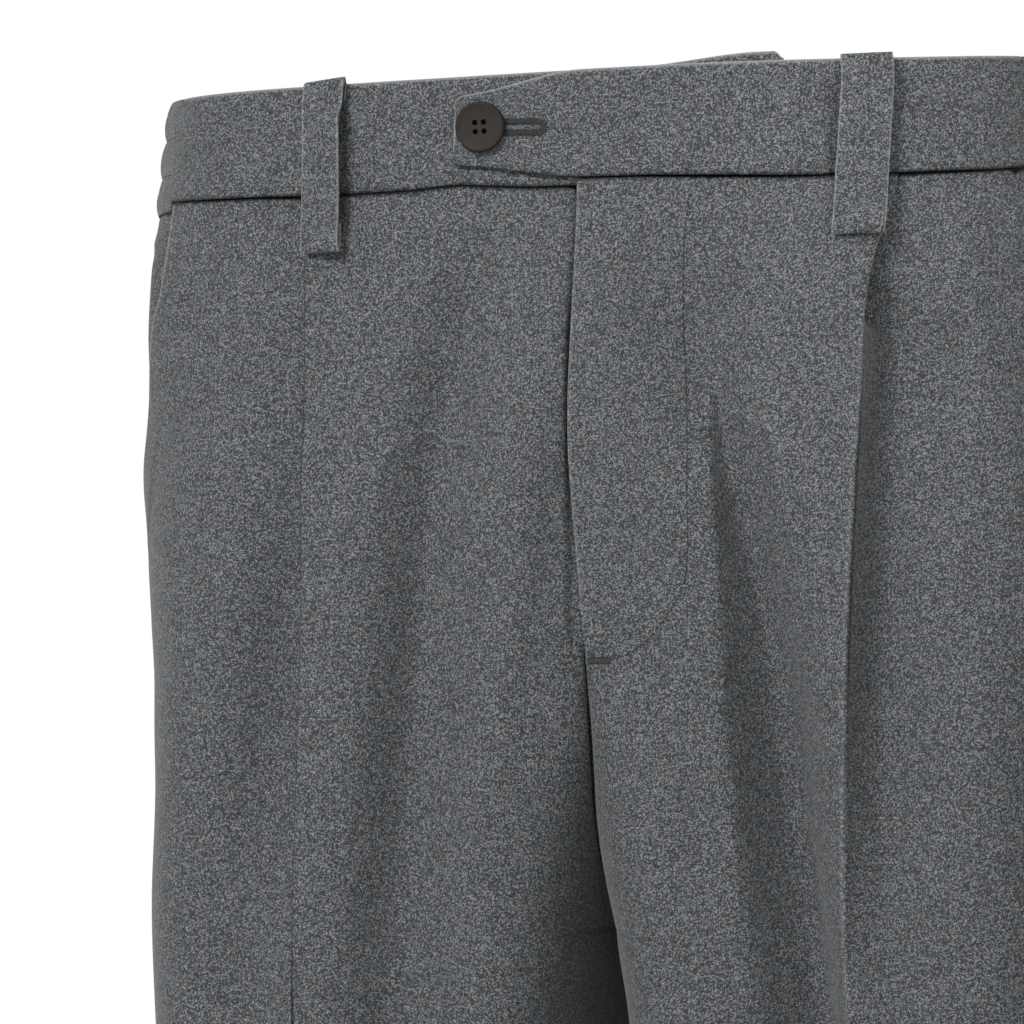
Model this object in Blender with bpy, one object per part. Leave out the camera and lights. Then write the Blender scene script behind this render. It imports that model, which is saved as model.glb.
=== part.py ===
"""Pleated dress trousers in their worn, hollow form: cut pieces round the waist, the hips and two legs.

Metres, +Z up. The front faces -Y and the wearer's left is +X. The origin is the middle of the waist,
level with the band's top edge at the centre front. A place on the cloth is given by its side (+1 for
the wearer's left), its height z before the waist is tilted, an angle round that side, and how far it
lies outside the form. The angle is 0 at the inseam, 90 degrees in front, 180 at the side seam and
270 behind. Above the fork both sides are cut off at the centre plane.
"""

import math
from collections import namedtuple

import bmesh
import bpy
from mathutils import Vector

# Walls and seams
CLOTH = 0.0010  # a leg panel or a pocket facing
BAND = 0.0020  # waistband: cloth, interfacing and cloth
STRAP = 0.0013  # belt loop
LOOP_WIDTH = 0.0165
SEAM_GAP = 0.0003  # between two pieces sewn together
EDGE_ROOM = 0.0004  # more under the band, because a wall's edge moves as the wall leans
LAYER = 0.0015  # from one layer of a pressed pleat to the next

# Main heights, down from the band's top
BAND_LOW = {  # how far the bands' lower edge lies below the waist, by degrees from the centre front
    1: ((0, 0.0354), (9, 0.0359), (19, 0.0372), (28, 0.0384), (38, 0.0390), (50, 0.0389), (57, 0.0388),
        (62, 0.0384), (66, 0.0381)),
    -1: ((0, 0.0381), (5, 0.0378), (10, 0.0368), (14, 0.0358), (17, 0.0360), (20, 0.0366), (31, 0.0368),
         (43, 0.0358), (66, 0.0345)),
}
BAND_SINKS = 0.0015  # how far the left band's top sinks towards the elastic
BAND_SINKS_OVER = (math.radians(12), math.radians(55))
BAND_SUNK_UNTIL = math.radians(110)
ELASTIC_HEIGHT = 0.0375
FLY_END = -0.180
FORK = -0.285
HEM = -0.985

# Pose of the waist: the wearer's left is higher, and the front is higher than the back
TILT = math.tan(math.radians(3.0))
PITCH = math.tan(math.radians(1.8))
LEVEL_BELOW = -0.300

# Closing
FLY_LAP = 0.012  # how far the right front runs on behind the left one
FLY_BACK = 0.0014  # how far the fly's edge stands back from the centre at its top
FLY_BACK_FROM = (-0.110, -0.045)
FLY_CURVE = 0.030  # the height over which the lap narrows to nothing at its foot
LAP_STEP = 0.0015  # how far each front lies off the form where they lap
LAP_FADES = (-0.195, -0.225)
LAP_TURN = 0.30  # radians from the centre, where that step has levelled out
BRIDGE = 0.050  # half the width that the seat spans without dipping to its seam
TAB_LENGTH = 0.0400
TAB_TAPER = (0.0066, 0.0058)  # how much lower its top ends, and how much higher its bottom
TAB_TAPER_TO = 0.0030  # where the taper has ended, past the centre front
TAB_CORNER = 0.0022
TAB_RISE = 0.0013  # how far the upper band lies off the form, over the other
TAB_RISE_FADES = (0.070, 0.088)
UNDERLAP = 0.0690
UNDERLAP_CORNER = 0.003
UNDERLAP_RAISED = 0.0029  # how far its end stands above the upper band's top
UNDERLAP_SHORT = 0.0040  # how far its bottom stops above the upper band's bottom
UNDERLAP_SUNK = 0.0012  # how far it lies inside the form
BUTTON_RADIUS = 0.0085
BUTTON_THICK = 0.0032
BUTTON_GAP = 0.0004  # over the tab
HOLE_RADIUS = 0.00095
HOLE_OUT = 0.00150  # from the button's middle, both ways
BUTTON_PLACE = (-0.0305, -0.0172)  # along X and below the band's top

# Pocket mouths, slanted from the band to the side seam
MOUTH = (  # how far in front of the side seam the pocket mouth lies, by height, on the wearer's right
    (-0.190, 0.0), (-0.130, 0.055), (-0.116, 0.064), (-0.102, 0.070), (-0.084, 0.074), (-0.074, 0.079),
    (-0.067, 0.085), (-0.058, 0.086), (-0.048, 0.085), (-0.0375, 0.083),
)
MOUTH_LEFT = 0.90  # its size on the wearer's left
GAPE = 0.0016  # how far the front's edge stands off at the mouth
GAPE_FADES = (-0.120, -0.165)
GAPE_MORE = 0.0012  # and how much more at its widest
GAPE_WIDEST = -0.075
GAPE_HEIGHT = 0.022
GAPE_TURN = 0.22  # radians in front of the mouth, where the front starts to stand off
FACING_UNDER = 0.020
FACING_END = -0.188
FACING_BELOW = 0.0021  # how far below the form the facing lies, at the mouth

# Where the front bands meet the elastic, measured from the centre front
BAND_JOIN = math.radians(66)
CHANNELS = 3
PUFF = 0.0022  # how far the elastic band swells between its rows of stitches
GATHERS = 40
GATHER = 0.0006  # height of one of them
GATHERS_GROW = 8  # columns from the elastic's ends, over which they grow to that
BACK_GATHERS = 10  # on each back leg, under the elastic
FULLNESS = 0.0016  # height of one of those
FULLNESS_FADES = (-0.040, -0.115)
FULLNESS_LEFT = 0.0002

# How much squarer than an ellipse the form is, in front and behind: towards the inseams, and towards the
# side seams. A share of it is left at the knee.
SQUARE_INNER = {"front": 1.0, "back": 0.4}
SQUARE_OUTER = {"front": 0.65, "back": 0.0}
SQUARE_KNEE = 0.2
SQUARE_FADES = (-0.33, -0.55)
NEAR_SIDE = 0.003  # radians from the side seam, where the cloth's run is measured beside it
RUN_STEP = 0.002  # radians to both sides of a place, where its slope is measured

Ring = namedtuple("Ring", "z outer inner front back")
FORM = (
    Ring(0.000, 0.1545, 0.0000, 0.105, 0.104),
    Ring(-0.037, 0.1592, 0.0000, 0.107, 0.107),
    Ring(-0.055, 0.1618, 0.0000, 0.109, 0.111),
    Ring(-0.078, 0.1626, 0.0000, 0.112, 0.117),
    Ring(-0.126, 0.1622, 0.0000, 0.117, 0.130),
    Ring(-0.168, 0.1628, 0.0000, 0.118, 0.138),
    Ring(-0.205, 0.1628, 0.0000, 0.118, 0.138),
    Ring(-0.242, 0.1606, 0.0000, 0.117, 0.134),
    Ring(FORK, 0.1612, 0.0000, 0.114, 0.125),
    Ring(-0.310, 0.1606, 0.0035, 0.112, 0.119),
    Ring(-0.340, 0.1592, 0.0065, 0.109, 0.114),
    Ring(-0.450, 0.1539, 0.0130, 0.098, 0.099),
    Ring(-0.615, 0.1443, 0.0185, 0.084, 0.086),
    Ring(-0.800, 0.1358, 0.0280, 0.074, 0.077),
    Ring(HEM, 0.1344, 0.0380, 0.069, 0.073),
)

# How far the legs have parted: 0 is one body, 1 two full legs. shift moves the legs' plane along X, and
# bridge is how far the cloth spans the seat.
Parting = namedtuple("Parting", "z front back shift bridge")
PARTING = (
    Parting(-0.095, 0.000, 0.000, 0.0000, 0.0),
    Parting(-0.110, 0.020, 0.015, 0.0000, 0.5),
    Parting(-0.130, 0.200, 0.080, 0.0004, 1.0),
    Parting(-0.155, 0.440, 0.200, 0.0020, 1.0),
    Parting(-0.180, 0.640, 0.350, 0.0042, 1.0),
    Parting(-0.200, 0.765, 0.470, 0.0056, 1.0),
    Parting(-0.225, 0.850, 0.630, 0.0046, 0.7),
    Parting(-0.250, 0.910, 0.790, 0.0034, 0.3),
    Parting(-0.270, 0.960, 0.920, 0.0028, 0.0),
    Parting(FORK, 1.000, 1.000, 0.0028, 0.0),
)

# A pleat's fold edge lies at x, and its two layers lie rise above and drop below the form. tuck is the
# depth folded back towards the centre. Below zero the pleat has opened into the leg's pressed crease.
Pleat = namedtuple("Pleat", "z x rise drop tuck")
PLEATS = {
    1: (
        Pleat(-0.030, 0.1073, 0.0015, 0.0015, 0.022),
        Pleat(-0.045, 0.1046, 0.0018, 0.0019, 0.021),
        Pleat(-0.058, 0.1014, 0.0024, 0.0030, 0.020),
        Pleat(-0.070, 0.0985, 0.0038, 0.0062, 0.017),
        Pleat(-0.084, 0.0967, 0.0048, 0.0096, 0.007),
        Pleat(-0.097, 0.0962, 0.0050, 0.0112, -0.006),
        Pleat(-0.112, 0.0958, 0.0050, 0.0122, -0.012),
        Pleat(-0.135, 0.0950, 0.0048, 0.0124, -0.014),
        Pleat(-0.165, 0.0940, 0.0046, 0.0120, -0.015),
        Pleat(-0.215, 0.0928, 0.0044, 0.0114, -0.015),
        Pleat(FORK, 0.0916, 0.0040, 0.0094, -0.016),
        Pleat(-0.330, 0.0932, 0.0038, 0.0060, -0.018),
        Pleat(-0.450, 0.0875, 0.0042, 0.0010, -0.018),
        Pleat(-0.615, 0.0848, 0.0045, 0.0000, -0.016),
        Pleat(HEM, 0.0895, 0.0045, 0.0000, -0.016),
    ),
    -1: (
        Pleat(-0.030, 0.0920, 0.0015, 0.0015, 0.020),
        Pleat(-0.055, 0.0917, 0.0018, 0.0020, 0.019),
        Pleat(-0.080, 0.0909, 0.0022, 0.0030, 0.017),
        Pleat(-0.110, 0.0903, 0.0024, 0.0040, 0.014),
        Pleat(-0.140, 0.0904, 0.0026, 0.0062, 0.012),
        Pleat(-0.170, 0.0896, 0.0028, 0.0086, 0.011),
        Pleat(-0.215, 0.0904, 0.0030, 0.0096, 0.010),
        Pleat(FORK, 0.0930, 0.0034, 0.0060, 0.007),
        Pleat(-0.330, 0.0930, 0.0036, 0.0040, 0.000),
        Pleat(-0.450, 0.0860, 0.0042, 0.0000, -0.014),
        Pleat(-0.615, 0.0788, 0.0045, 0.0000, -0.016),
        Pleat(HEM, 0.0835, 0.0045, 0.0000, -0.016),
    ),
}
PLEAT_RISES = 0.036  # how far in front of the fold edge the cloth starts to rise towards it
RECOVER = {1: 0.028, -1: 0.015}  # how far the cloth behind the pleat takes to come back to the form

# Soft troughs (a negative lift) and ridges, each a line down the cloth with its widths to both sides.
# crest is how sharply a trough's near bank turns over: 0 softly, 1 in an edge. The first trough of each
# front steers that panel's columns.
Fold = namedtuple("Fold", "z x lift near far crest", defaults=(0,))
CREST_SOFT = 0.10  # roundness of such an edge, as a share of its bank's width
CREST_TURN = 0.0035  # half the width between the two columns that follow such an edge
TROUGH_FROM = 0.034  # the nearest to the centre plane that the columns follow a trough
FRONT_FOLDS = {
    1: (
        (
            Fold(-0.100, 0.0490, 0.0000, 0.0030, 0.010, 0.9),
            Fold(-0.113, 0.0502, -0.0036, 0.0034, 0.010, 0.9),
            Fold(-0.126, 0.0522, -0.0074, 0.0048, 0.012, 0.9),
            Fold(-0.146, 0.0572, -0.0130, 0.0086, 0.014, 0.9),
            Fold(-0.167, 0.0612, -0.0172, 0.0112, 0.015, 0.9),
            Fold(-0.186, 0.0636, -0.0200, 0.0126, 0.016, 0.8),
            Fold(-0.214, 0.0668, -0.0232, 0.0144, 0.017, 0.8),
            Fold(-0.248, 0.0710, -0.0252, 0.0156, 0.017, 0.8),
            Fold(-0.282, 0.0760, -0.0256, 0.0172, 0.015, 0.7),
            Fold(-0.316, 0.0805, -0.0230, 0.0184, 0.014, 0.6),
            Fold(-0.390, 0.0790, -0.0120, 0.0180, 0.016, 0.0),
            Fold(-0.500, 0.0700, 0.0000, 0.0180, 0.014, 0.0),
        ),
        (
            Fold(-0.054, 0.0330, 0.0000, 0.015, 0.010),
            Fold(-0.074, 0.0390, -0.0045, 0.017, 0.010),
            Fold(-0.096, 0.0440, -0.0080, 0.018, 0.010),
            Fold(-0.114, 0.0470, -0.0060, 0.014, 0.010),
            Fold(-0.138, 0.0510, 0.0000, 0.008, 0.010),
        ),
        (
            Fold(-0.074, 0.1035, 0.0000, 0.008, 0.012),
            Fold(-0.095, 0.1121, -0.0026, 0.008, 0.014),
            Fold(-0.126, 0.1274, -0.0050, 0.010, 0.016),
            Fold(-0.175, 0.1409, -0.0036, 0.012, 0.016),
            Fold(-0.220, 0.1457, 0.0000, 0.014, 0.016),
        ),
        (
            Fold(-0.075, 0.1440, 0.0000, 0.028, 0.016),
            Fold(-0.120, 0.1470, 0.0050, 0.028, 0.018),
            Fold(-0.200, 0.1480, 0.0080, 0.030, 0.020),
            Fold(-0.300, 0.1460, 0.0080, 0.030, 0.020),
            Fold(-0.450, 0.1400, 0.0000, 0.030, 0.020),
        ),
    ),
    -1: (
        (
            Fold(-0.050, 0.0280, 0.0000, 0.014, 0.013),
            Fold(-0.075, 0.0340, -0.0050, 0.013, 0.012),
            Fold(-0.109, 0.0430, -0.0095, 0.013, 0.012),
            Fold(-0.152, 0.0490, -0.0115, 0.013, 0.012),
            Fold(-0.200, 0.0520, -0.0120, 0.014, 0.013),
            Fold(-0.260, 0.0570, -0.0120, 0.017, 0.014),
            Fold(-0.330, 0.0600, -0.0105, 0.020, 0.016),
            Fold(-0.440, 0.0620, 0.0000, 0.020, 0.018),
        ),
        (
            Fold(-0.080, 0.0100, 0.0000, 0.009, 0.012),
            Fold(-0.110, 0.0120, 0.0040, 0.009, 0.012),
            Fold(-0.160, 0.0160, 0.0050, 0.009, 0.012),
            Fold(-0.230, 0.0260, 0.0045, 0.010, 0.012),
            Fold(-0.340, 0.0360, 0.0000, 0.010, 0.014),
        ),
        (
            Fold(-0.150, 0.1030, 0.0000, 0.010, 0.014),
            Fold(-0.200, 0.1070, -0.0050, 0.010, 0.016),
            Fold(-0.245, 0.1140, -0.0090, 0.014, 0.018),
            Fold(-0.300, 0.1200, -0.0105, 0.016, 0.020),
            Fold(-0.360, 0.1200, -0.0070, 0.016, 0.020),
            Fold(-0.450, 0.1200, 0.0000, 0.016, 0.018),
        ),
    ),
}
BACK_FOLDS = {
    1: (
        (
            Fold(-0.215, 0.0550, 0.0000, 0.014, 0.016),
            Fold(-0.290, 0.0480, -0.0040, 0.014, 0.018),
            Fold(-0.400, 0.0520, -0.0030, 0.014, 0.018),
            Fold(-0.520, 0.0600, 0.0000, 0.014, 0.018),
        ),
        (
            Fold(-0.120, 0.1050, 0.0000, 0.014, 0.016),
            Fold(-0.200, 0.1150, -0.0026, 0.014, 0.016),
            Fold(-0.330, 0.1200, 0.0000, 0.014, 0.016),
        ),
    ),
    -1: (
        (
            Fold(-0.200, 0.0500, 0.0000, 0.014, 0.016),
            Fold(-0.310, 0.0520, -0.0036, 0.016, 0.018),
            Fold(-0.440, 0.0560, -0.0024, 0.014, 0.018),
            Fold(-0.560, 0.0600, 0.0000, 0.014, 0.018),
        ),
        (
            Fold(-0.150, 0.1100, 0.0000, 0.014, 0.016),
            Fold(-0.240, 0.1180, -0.0024, 0.014, 0.016),
            Fold(-0.380, 0.1180, 0.0000, 0.014, 0.016),
        ),
    ),
}
BACK_CREASE = 0.0040  # how far the pressed back crease stands out
BACK_CREASE_FROM = (-0.20, -0.42)

FRONT_ROWS = (
    -0.037, -0.046, -0.056, -0.066, -0.076, -0.088, -0.101, -0.115, -0.130, -0.145,
    -0.160, -0.175, -0.190, -0.205, -0.222, -0.240, -0.256, -0.271, FORK, -0.305,
    -0.335, -0.375, -0.430, -0.500, -0.580, -0.670, -0.770, -0.870, HEM,
)  # fmt: skip
BACK_ROWS = (
    -0.037, -0.045, -0.056, -0.070, -0.088, -0.110, -0.136, -0.163, -0.190, -0.215,
    -0.238, -0.257, -0.272, FORK, -0.310, -0.350, -0.410, -0.480, -0.560, -0.650,
    -0.750, -0.860, HEM,
)  # fmt: skip

CHARCOAL = (0.118, 0.122, 0.127)
HORN = (0.050, 0.041, 0.036)


def ease(value, start, end):
    """0 at start and 1 at end, with a smooth run between them."""
    part = min(max((value - start) / (end - start), 0.0), 1.0)
    return part * part * (3 - 2 * part)


def mix(first, second, part):
    return first + (second - first) * part


def between(pairs, place):
    """The value at a place on straight lines through pairs of a place and its value."""
    place = min(max(place, pairs[0][0]), pairs[-1][0])
    for (start, low), (end, high) in zip(pairs, pairs[1:]):
        if place <= end:
            return mix(low, high, (place - start) / (end - start))
    return pairs[-1][1]


def along(rows, z, column):
    """A column's value at height z, on a smooth curve through the rows."""
    values = [getattr(row, column) for row in rows]
    if z >= rows[0].z:
        return values[0]
    if z <= rows[-1].z:
        return values[-1]
    low = next(k for k, row in enumerate(rows) if row.z <= z)
    high = low - 1

    def slope(k):
        before, after = max(k - 1, 0), min(k + 1, len(rows) - 1)
        return (values[after] - values[before]) / (rows[after].z - rows[before].z)

    span = rows[low].z - rows[high].z
    part = (z - rows[high].z) / span
    bend_high = part * (1 - part) ** 2 * slope(high) * span
    bend_low = part**2 * (part - 1) * slope(low) * span
    return mix(values[high], values[low], ease(part, 0, 1)) + bend_high + bend_low


class Level:
    """The form's ring at one height, worked out once for all the points at that height."""

    def __init__(self, z):
        self.z = z
        self.outer = along(FORM, z, "outer")
        self.inner = max(along(FORM, z, "inner"), 0.0)
        self.depth = {"front": along(FORM, z, "front"), "back": along(FORM, z, "back")}
        self.split = {
            "front": min(max(along(PARTING, z, "front"), 0.0), 1.0),
            "back": min(max(along(PARTING, z, "back"), 0.0), 1.0),
        }
        self.bridge = min(max(along(PARTING, z, "bridge"), 0.0), 1.0)
        self.square = mix(1, SQUARE_KNEE, ease(z, *SQUARE_FADES))
        self.shift = along(PARTING, z, "shift")

    def half(self, face):
        return (self.outer - self.inner) / (1 + self.split[face])

    def centre(self, face):
        return self.inner + self.split[face] * self.half(face)

    def angle_at(self, face, x):
        """The angle, between 0 and 180 degrees, of the point this far from the legs' centre plane."""
        cosine = (self.centre(face) - x) / self.half(face)
        return math.acos(min(max(cosine, -1.0), 1.0))

    def rise(self, face, angle):
        """The outline's share of its full depth."""
        cosine = math.cos(angle)
        squarer = SQUARE_INNER[face] if cosine > 0 else SQUARE_OUTER[face]
        return math.sin(angle) * (1 + self.square * squarer * abs(cosine) ** 3)

    def outline(self, angle):
        """Metres out from the legs' centre plane, and metres along Y."""
        face = "front" if math.sin(angle) > 0 else "back"
        x = self.centre(face) - self.half(face) * math.cos(angle)
        y = -self.depth[face] * self.rise(face, angle)
        if face == "back" and abs(x) < BRIDGE:
            edge = self.rise(face, self.angle_at(face, 0.0))
            far = self.rise(face, self.angle_at(face, BRIDGE))
            spanned = mix(edge, far, ease(abs(x), 0, BRIDGE)) * math.copysign(self.depth[face], y)
            y = mix(y, spanned, self.bridge)
        return x, y

    def run(self, angle):
        """Metres along the cloth for one radian, at this angle."""
        before, after = self.outline(angle - RUN_STEP), self.outline(angle + RUN_STEP)
        return math.hypot(after[0] - before[0], after[1] - before[1]) / (2 * RUN_STEP)


def fold_lift(folds, z, x):
    """How far the folds lift the cloth, at this height and distance from the waist's centre plane."""
    total = 0.0
    for rows in folds:
        if rows[-1].z < z < rows[0].z:
            away = x - along(rows, z, "x")
            spread_out = (away / along(rows, z, "far" if away > 0 else "near")) ** 2
            share = math.exp(-spread_out)
            if away < 0:
                edge = min((1 - spread_out) / CREST_SOFT, 40)
                crested = CREST_SOFT * math.log1p(math.exp(edge))
                share = mix(share, crested, along(rows, z, "crest"))
            total += along(rows, z, "lift") * share
    return total


def back_crease(level, x):
    height = BACK_CREASE * ease(level.z, *BACK_CREASE_FROM)
    return height * math.exp(-abs(x - level.centre("back")) / 0.014)


def skin(side, level, angle, lift=0.0, folds=True):
    """The world point at this angle, lifted off the form."""
    x, y = level.outline(angle)
    before, after = level.outline(angle - RUN_STEP), level.outline(angle + RUN_STEP)
    normal = Vector((after[1] - before[1], before[0] - after[0])).normalized()
    from_waist = x + side * level.shift
    if folds and math.sin(angle) > 0:
        lift += fold_lift(FRONT_FOLDS[side], level.z, from_waist)
    elif folds:
        lift += fold_lift(BACK_FOLDS[side], level.z, from_waist) + back_crease(level, x)
    return pose(side * (x + normal.x * lift) + level.shift, y + normal.y * lift, level.z)


def pose(x, y, z):
    """Tilts the waist, less and less down to the fork."""
    lean = 1 - ease(z, 0, LEVEL_BELOW)
    return Vector((x, y, z + lean * (TILT * x - PITCH * (y + FORM[0].front))))


def band_angle(turn):
    """A turn from the centre front, towards the wearer's left, as a side and an angle."""
    side = 1 if turn >= 0 else -1
    return side, math.pi / 2 + abs(turn)


def band_height(side, turn):
    """How far down the band's lower edge lies on this side, at this turn from the centre front."""
    if turn > BAND_JOIN:
        return ELASTIC_HEIGHT
    return between(BAND_LOW[side], math.degrees(turn))


def mouth(side, z):
    """How far in front of the side seam the pocket mouth lies."""
    return between(MOUTH, z) * (MOUTH_LEFT if side > 0 else 1)


def seam_clear(level, face):
    """Half the gap at the centre plane, with room for walls that lean over it."""
    return SEAM_GAP / 2 + CLOTH / 2 * min(1.3 * level.split[face], 1.0)


def add_material(name, color, roughness):
    material = bpy.data.materials.new(name)
    material.use_nodes = True
    shader = material.node_tree.nodes["Principled BSDF"]
    shader.inputs["Base Color"].default_value = (*color, 1)
    shader.inputs["Roughness"].default_value = roughness
    shader.inputs["Metallic"].default_value = 0.0
    return material


def add_object(name, bm, material):
    mesh = bpy.data.meshes.new(name)
    bm.to_mesh(mesh)
    bm.free()
    mesh.materials.append(material)
    mesh.shade_smooth()
    piece = bpy.data.objects.new(name, mesh)
    bpy.context.scene.collection.objects.link(piece)
    return piece


def add_sheet(name, rows, wall, material):
    """A cloth piece: a grid whose rows of points are its middle surface, with a wall round it."""
    bm = bmesh.new()
    across = len(rows[0]) - 1
    bmesh.ops.create_grid(bm, x_segments=across, y_segments=len(rows) - 1, size=1)
    bm.verts.ensure_lookup_table()
    places = [point for row in rows for point in row]
    for vertex, place in zip(bm.verts, places):
        vertex.co = place
    piece = add_object(name, bm, material)
    thickness = piece.modifiers.new("wall", "SOLIDIFY")
    thickness.thickness = wall
    thickness.offset = 0.0
    thickness.use_even_offset = True
    return piece


def spread(start, end, count):
    return [mix(start, end, k / count) for k in range(count)]


def mouth_gape(z):
    """How far the front's edge stands off at this height, where the pocket mouth opens."""
    widest = math.exp(-(((z - GAPE_WIDEST) / GAPE_HEIGHT) ** 2))
    return GAPE * (1 - ease(z, *GAPE_FADES)) + GAPE_MORE * widest


def front_stations(side, level):
    """Angles and lifts across one front panel, from the centre or the inseam to its outer edge."""
    start_lift = LAP_STEP * side * (1 - ease(level.z, *LAP_FADES))
    if level.z < FORK:
        start = SEAM_GAP / 2 / level.run(0)
    else:
        lap = FLY_LAP * ease(level.z, FLY_END, FLY_END + FLY_CURVE) if side < 0 else 0.0
        back = FLY_BACK * ease(level.z, *FLY_BACK_FROM) if side > 0 else 0.0
        start = level.angle_at("front", seam_clear(level, "front") - lap + back)
    end = math.pi - max(mouth(side, level.z), SEAM_GAP / 2) / level.run(math.pi - NEAR_SIDE)

    row = {name: along(PLEATS[side], level.z, name) for name in Pleat._fields}
    edge = level.angle_at("front", row["x"] - side * level.shift)
    per_metre = 1 / level.run(edge)
    tip, rise, drop, tuck = LAYER / 2, row["rise"], row["drop"], row["tuck"]
    pressed = (
        (-0.010, rise),
        (-tip, rise),
        (0.0, rise - tip),
        (-tip, rise - 2 * tip),
        (tip - tuck, 2 * tip - drop),
        (-tuck, tip - drop),
        (tip - tuck, -drop),
        (0.008, -drop),
    )
    width = max(-tuck, 0.010)
    opened = (
        (-0.010, 0.58 * rise),
        (-0.0025, 0.88 * rise),
        (0.0, rise),
        (0.17 * width, mix(-drop, rise, 0.72)),
        (0.36 * width, mix(-drop, rise, 0.45)),
        (0.62 * width, mix(-drop, rise, 0.18)),
        (width, -drop),
        (width + 0.010, -0.72 * drop),
    )
    folded = ease(tuck, -0.003, 0.009)
    pleat = [(mix(o[0], p[0], folded), mix(o[1], p[1], folded)) for o, p in zip(opened, pressed)]

    first = edge + pleat[0][0] * per_metre
    last = edge + pleat[-1][0] * per_metre
    valley_x = max(along(FRONT_FOLDS[side][0], level.z, "x") - side * level.shift, TROUGH_FROM)
    valley = min(level.angle_at("front", valley_x), mix(start, first, 0.6))
    bank = along(FRONT_FOLDS[side][0], level.z, "near")
    crest = level.angle_at("front", valley_x - bank)
    crest = min(max(crest, mix(start, valley, 0.3)), mix(start, valley, 0.85))
    turn = min(CREST_TURN / level.run(crest), 0.4 * (valley - crest))
    beyond = mix(valley, first, 0.35)
    near = spread(start, crest - turn, 3) + spread(crest - turn, crest + turn, 2)
    near += spread(crest + turn, beyond, 3) + spread(beyond, first, 2)
    stations = []
    for angle in near:
        away = (angle - first) / per_metre
        lift = pleat[0][1] * ease(away, -PLEAT_RISES, 0.0)
        stations.append((angle, lift + start_lift * (1 - ease(angle - start, 0.0, LAP_TURN))))
    stations += [(edge + s * per_metre, lift) for s, lift in pleat]
    for angle in spread(last, end, 5)[1:] + [end]:
        away = (angle - last) / per_metre
        lift = pleat[-1][1] * (1 - ease(away, 0.0, RECOVER[side]))
        stations.append((angle, lift + mouth_gape(level.z) * ease(end - angle, GAPE_TURN, 0.0)))
    return stations


def top_height(side, angle):
    """Where a panel starts below the band, at this angle."""
    return -band_height(side, angle - math.pi / 2) - SEAM_GAP - EDGE_ROOM


def panel_level(side, z, angle, first):
    """A row's level at this angle: the uppermost rows follow the band's edge."""
    follow = 1 - ease(first - z, 0.0, 0.030)
    return Level(z + (top_height(side, angle) - first) * follow)


def front_panel(name, side, material):
    rows = []
    for z in FRONT_ROWS:
        level = Level(z)
        row = []
        for angle, lift in front_stations(side, level):
            place = panel_level(side, z, angle, FRONT_ROWS[0])
            row.append(skin(side, place, angle, lift))
        rows.append(row)
    return add_sheet(name, rows, CLOTH, material)


def back_panel(name, side, material):
    rows = []
    for z in BACK_ROWS:
        level = Level(z)
        start = math.pi + SEAM_GAP / 2 / level.run(math.pi + NEAR_SIDE)
        if z < FORK:
            end = 2 * math.pi - SEAM_GAP / 2 / level.run(0)
        else:
            end = 2 * math.pi - level.angle_at("back", seam_clear(level, "back"))
        fullness = FULLNESS * (1 - ease(z, *FULLNESS_FADES)) + FULLNESS_LEFT
        row = []
        for k in range(2 * BACK_GATHERS + 1):
            angle = mix(start, end, k / (2 * BACK_GATHERS))
            ends = ease(min(k, 2 * BACK_GATHERS - k), 0, 2)
            wave = fullness * (1 if k % 2 else -1) * ends
            place = panel_level(side, z, angle, BACK_ROWS[0])
            row.append(skin(side, place, angle, wave))
        rows.append(row)
    return add_sheet(name, rows, CLOTH, material)


def pocket_facing(name, side, material):
    """The strip in the pocket mouth: flush at the side seam, and behind the front panel's edge."""
    rows = []
    for z in (-0.037, -0.050, -0.068, -0.090, -0.115, -0.142, -0.170, FACING_END):
        level = Level(z)
        per_metre = 1 / level.run(math.pi - NEAR_SIDE)
        end = math.pi - SEAM_GAP / 2 * per_metre
        edge = math.pi - mouth(side, z) * per_metre
        row = []
        columns = [mix(edge, end, part) for part in (0.0, 0.22, 0.30, 0.55, 0.80, 1.0)]
        for angle in [edge - FACING_UNDER * per_metre, *columns]:
            under = 1 - ease(angle, mix(edge, end, 0.35), end)
            row.append(skin(side, panel_level(side, z, angle, -0.037), angle, -FACING_BELOW * under))
        rows.append(row)
    return add_sheet(name, rows, CLOTH, material)


def band_sheet(name, turns, top, bottom, lift, steps, material):
    """A stretch of waistband, with its top, bottom and lift as functions of the turn."""
    rows = []
    for k in range(steps + 1):
        row = []
        for turn in turns:
            side, angle = band_angle(turn)
            level = Level(mix(top(turn), bottom(turn), k / steps))
            row.append(skin(side, level, angle, lift(turn, k / steps), folds=False))
        rows.append(row)
    return add_sheet(name, rows, BAND, material)


def turn_at(x):
    return math.asin(x / FORM[0].outer)


def waistband_left(material):
    tab_end = turn_at(-TAB_LENGTH)
    gap = SEAM_GAP / 2 / FORM[0].outer
    corner = TAB_CORNER / FORM[0].outer
    middle, side_part = turn_at(-0.6 * TAB_LENGTH), turn_at(TAB_RISE_FADES[1])
    tab = [tab_end, tab_end + corner, tab_end + 4 * corner, *spread(middle, 0, 4)]
    turns = tab + spread(0, side_part, 8) + spread(side_part, BAND_JOIN, 5)
    turns.append(BAND_JOIN - gap)

    def taper(turn):
        return 1 - ease(turn, tab_end, turn_at(TAB_TAPER_TO))

    def rounding(turn):
        return TAB_CORNER * (1 - ease(turn, tab_end, tab_end + corner))

    def top(turn):
        sunk = BAND_SINKS * ease(turn, *BAND_SINKS_OVER)
        return -TAB_TAPER[0] * taper(turn) - rounding(turn) - sunk

    def bottom(turn):
        return TAB_TAPER[1] * taper(turn) + rounding(turn) - band_height(1, turn)

    def lift(turn, part):
        near, far = TAB_RISE_FADES
        return TAB_RISE * (1 - ease(turn, turn_at(near), turn_at(far)))

    return band_sheet("waistband_left", turns, top, bottom, lift, 3, material)


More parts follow.
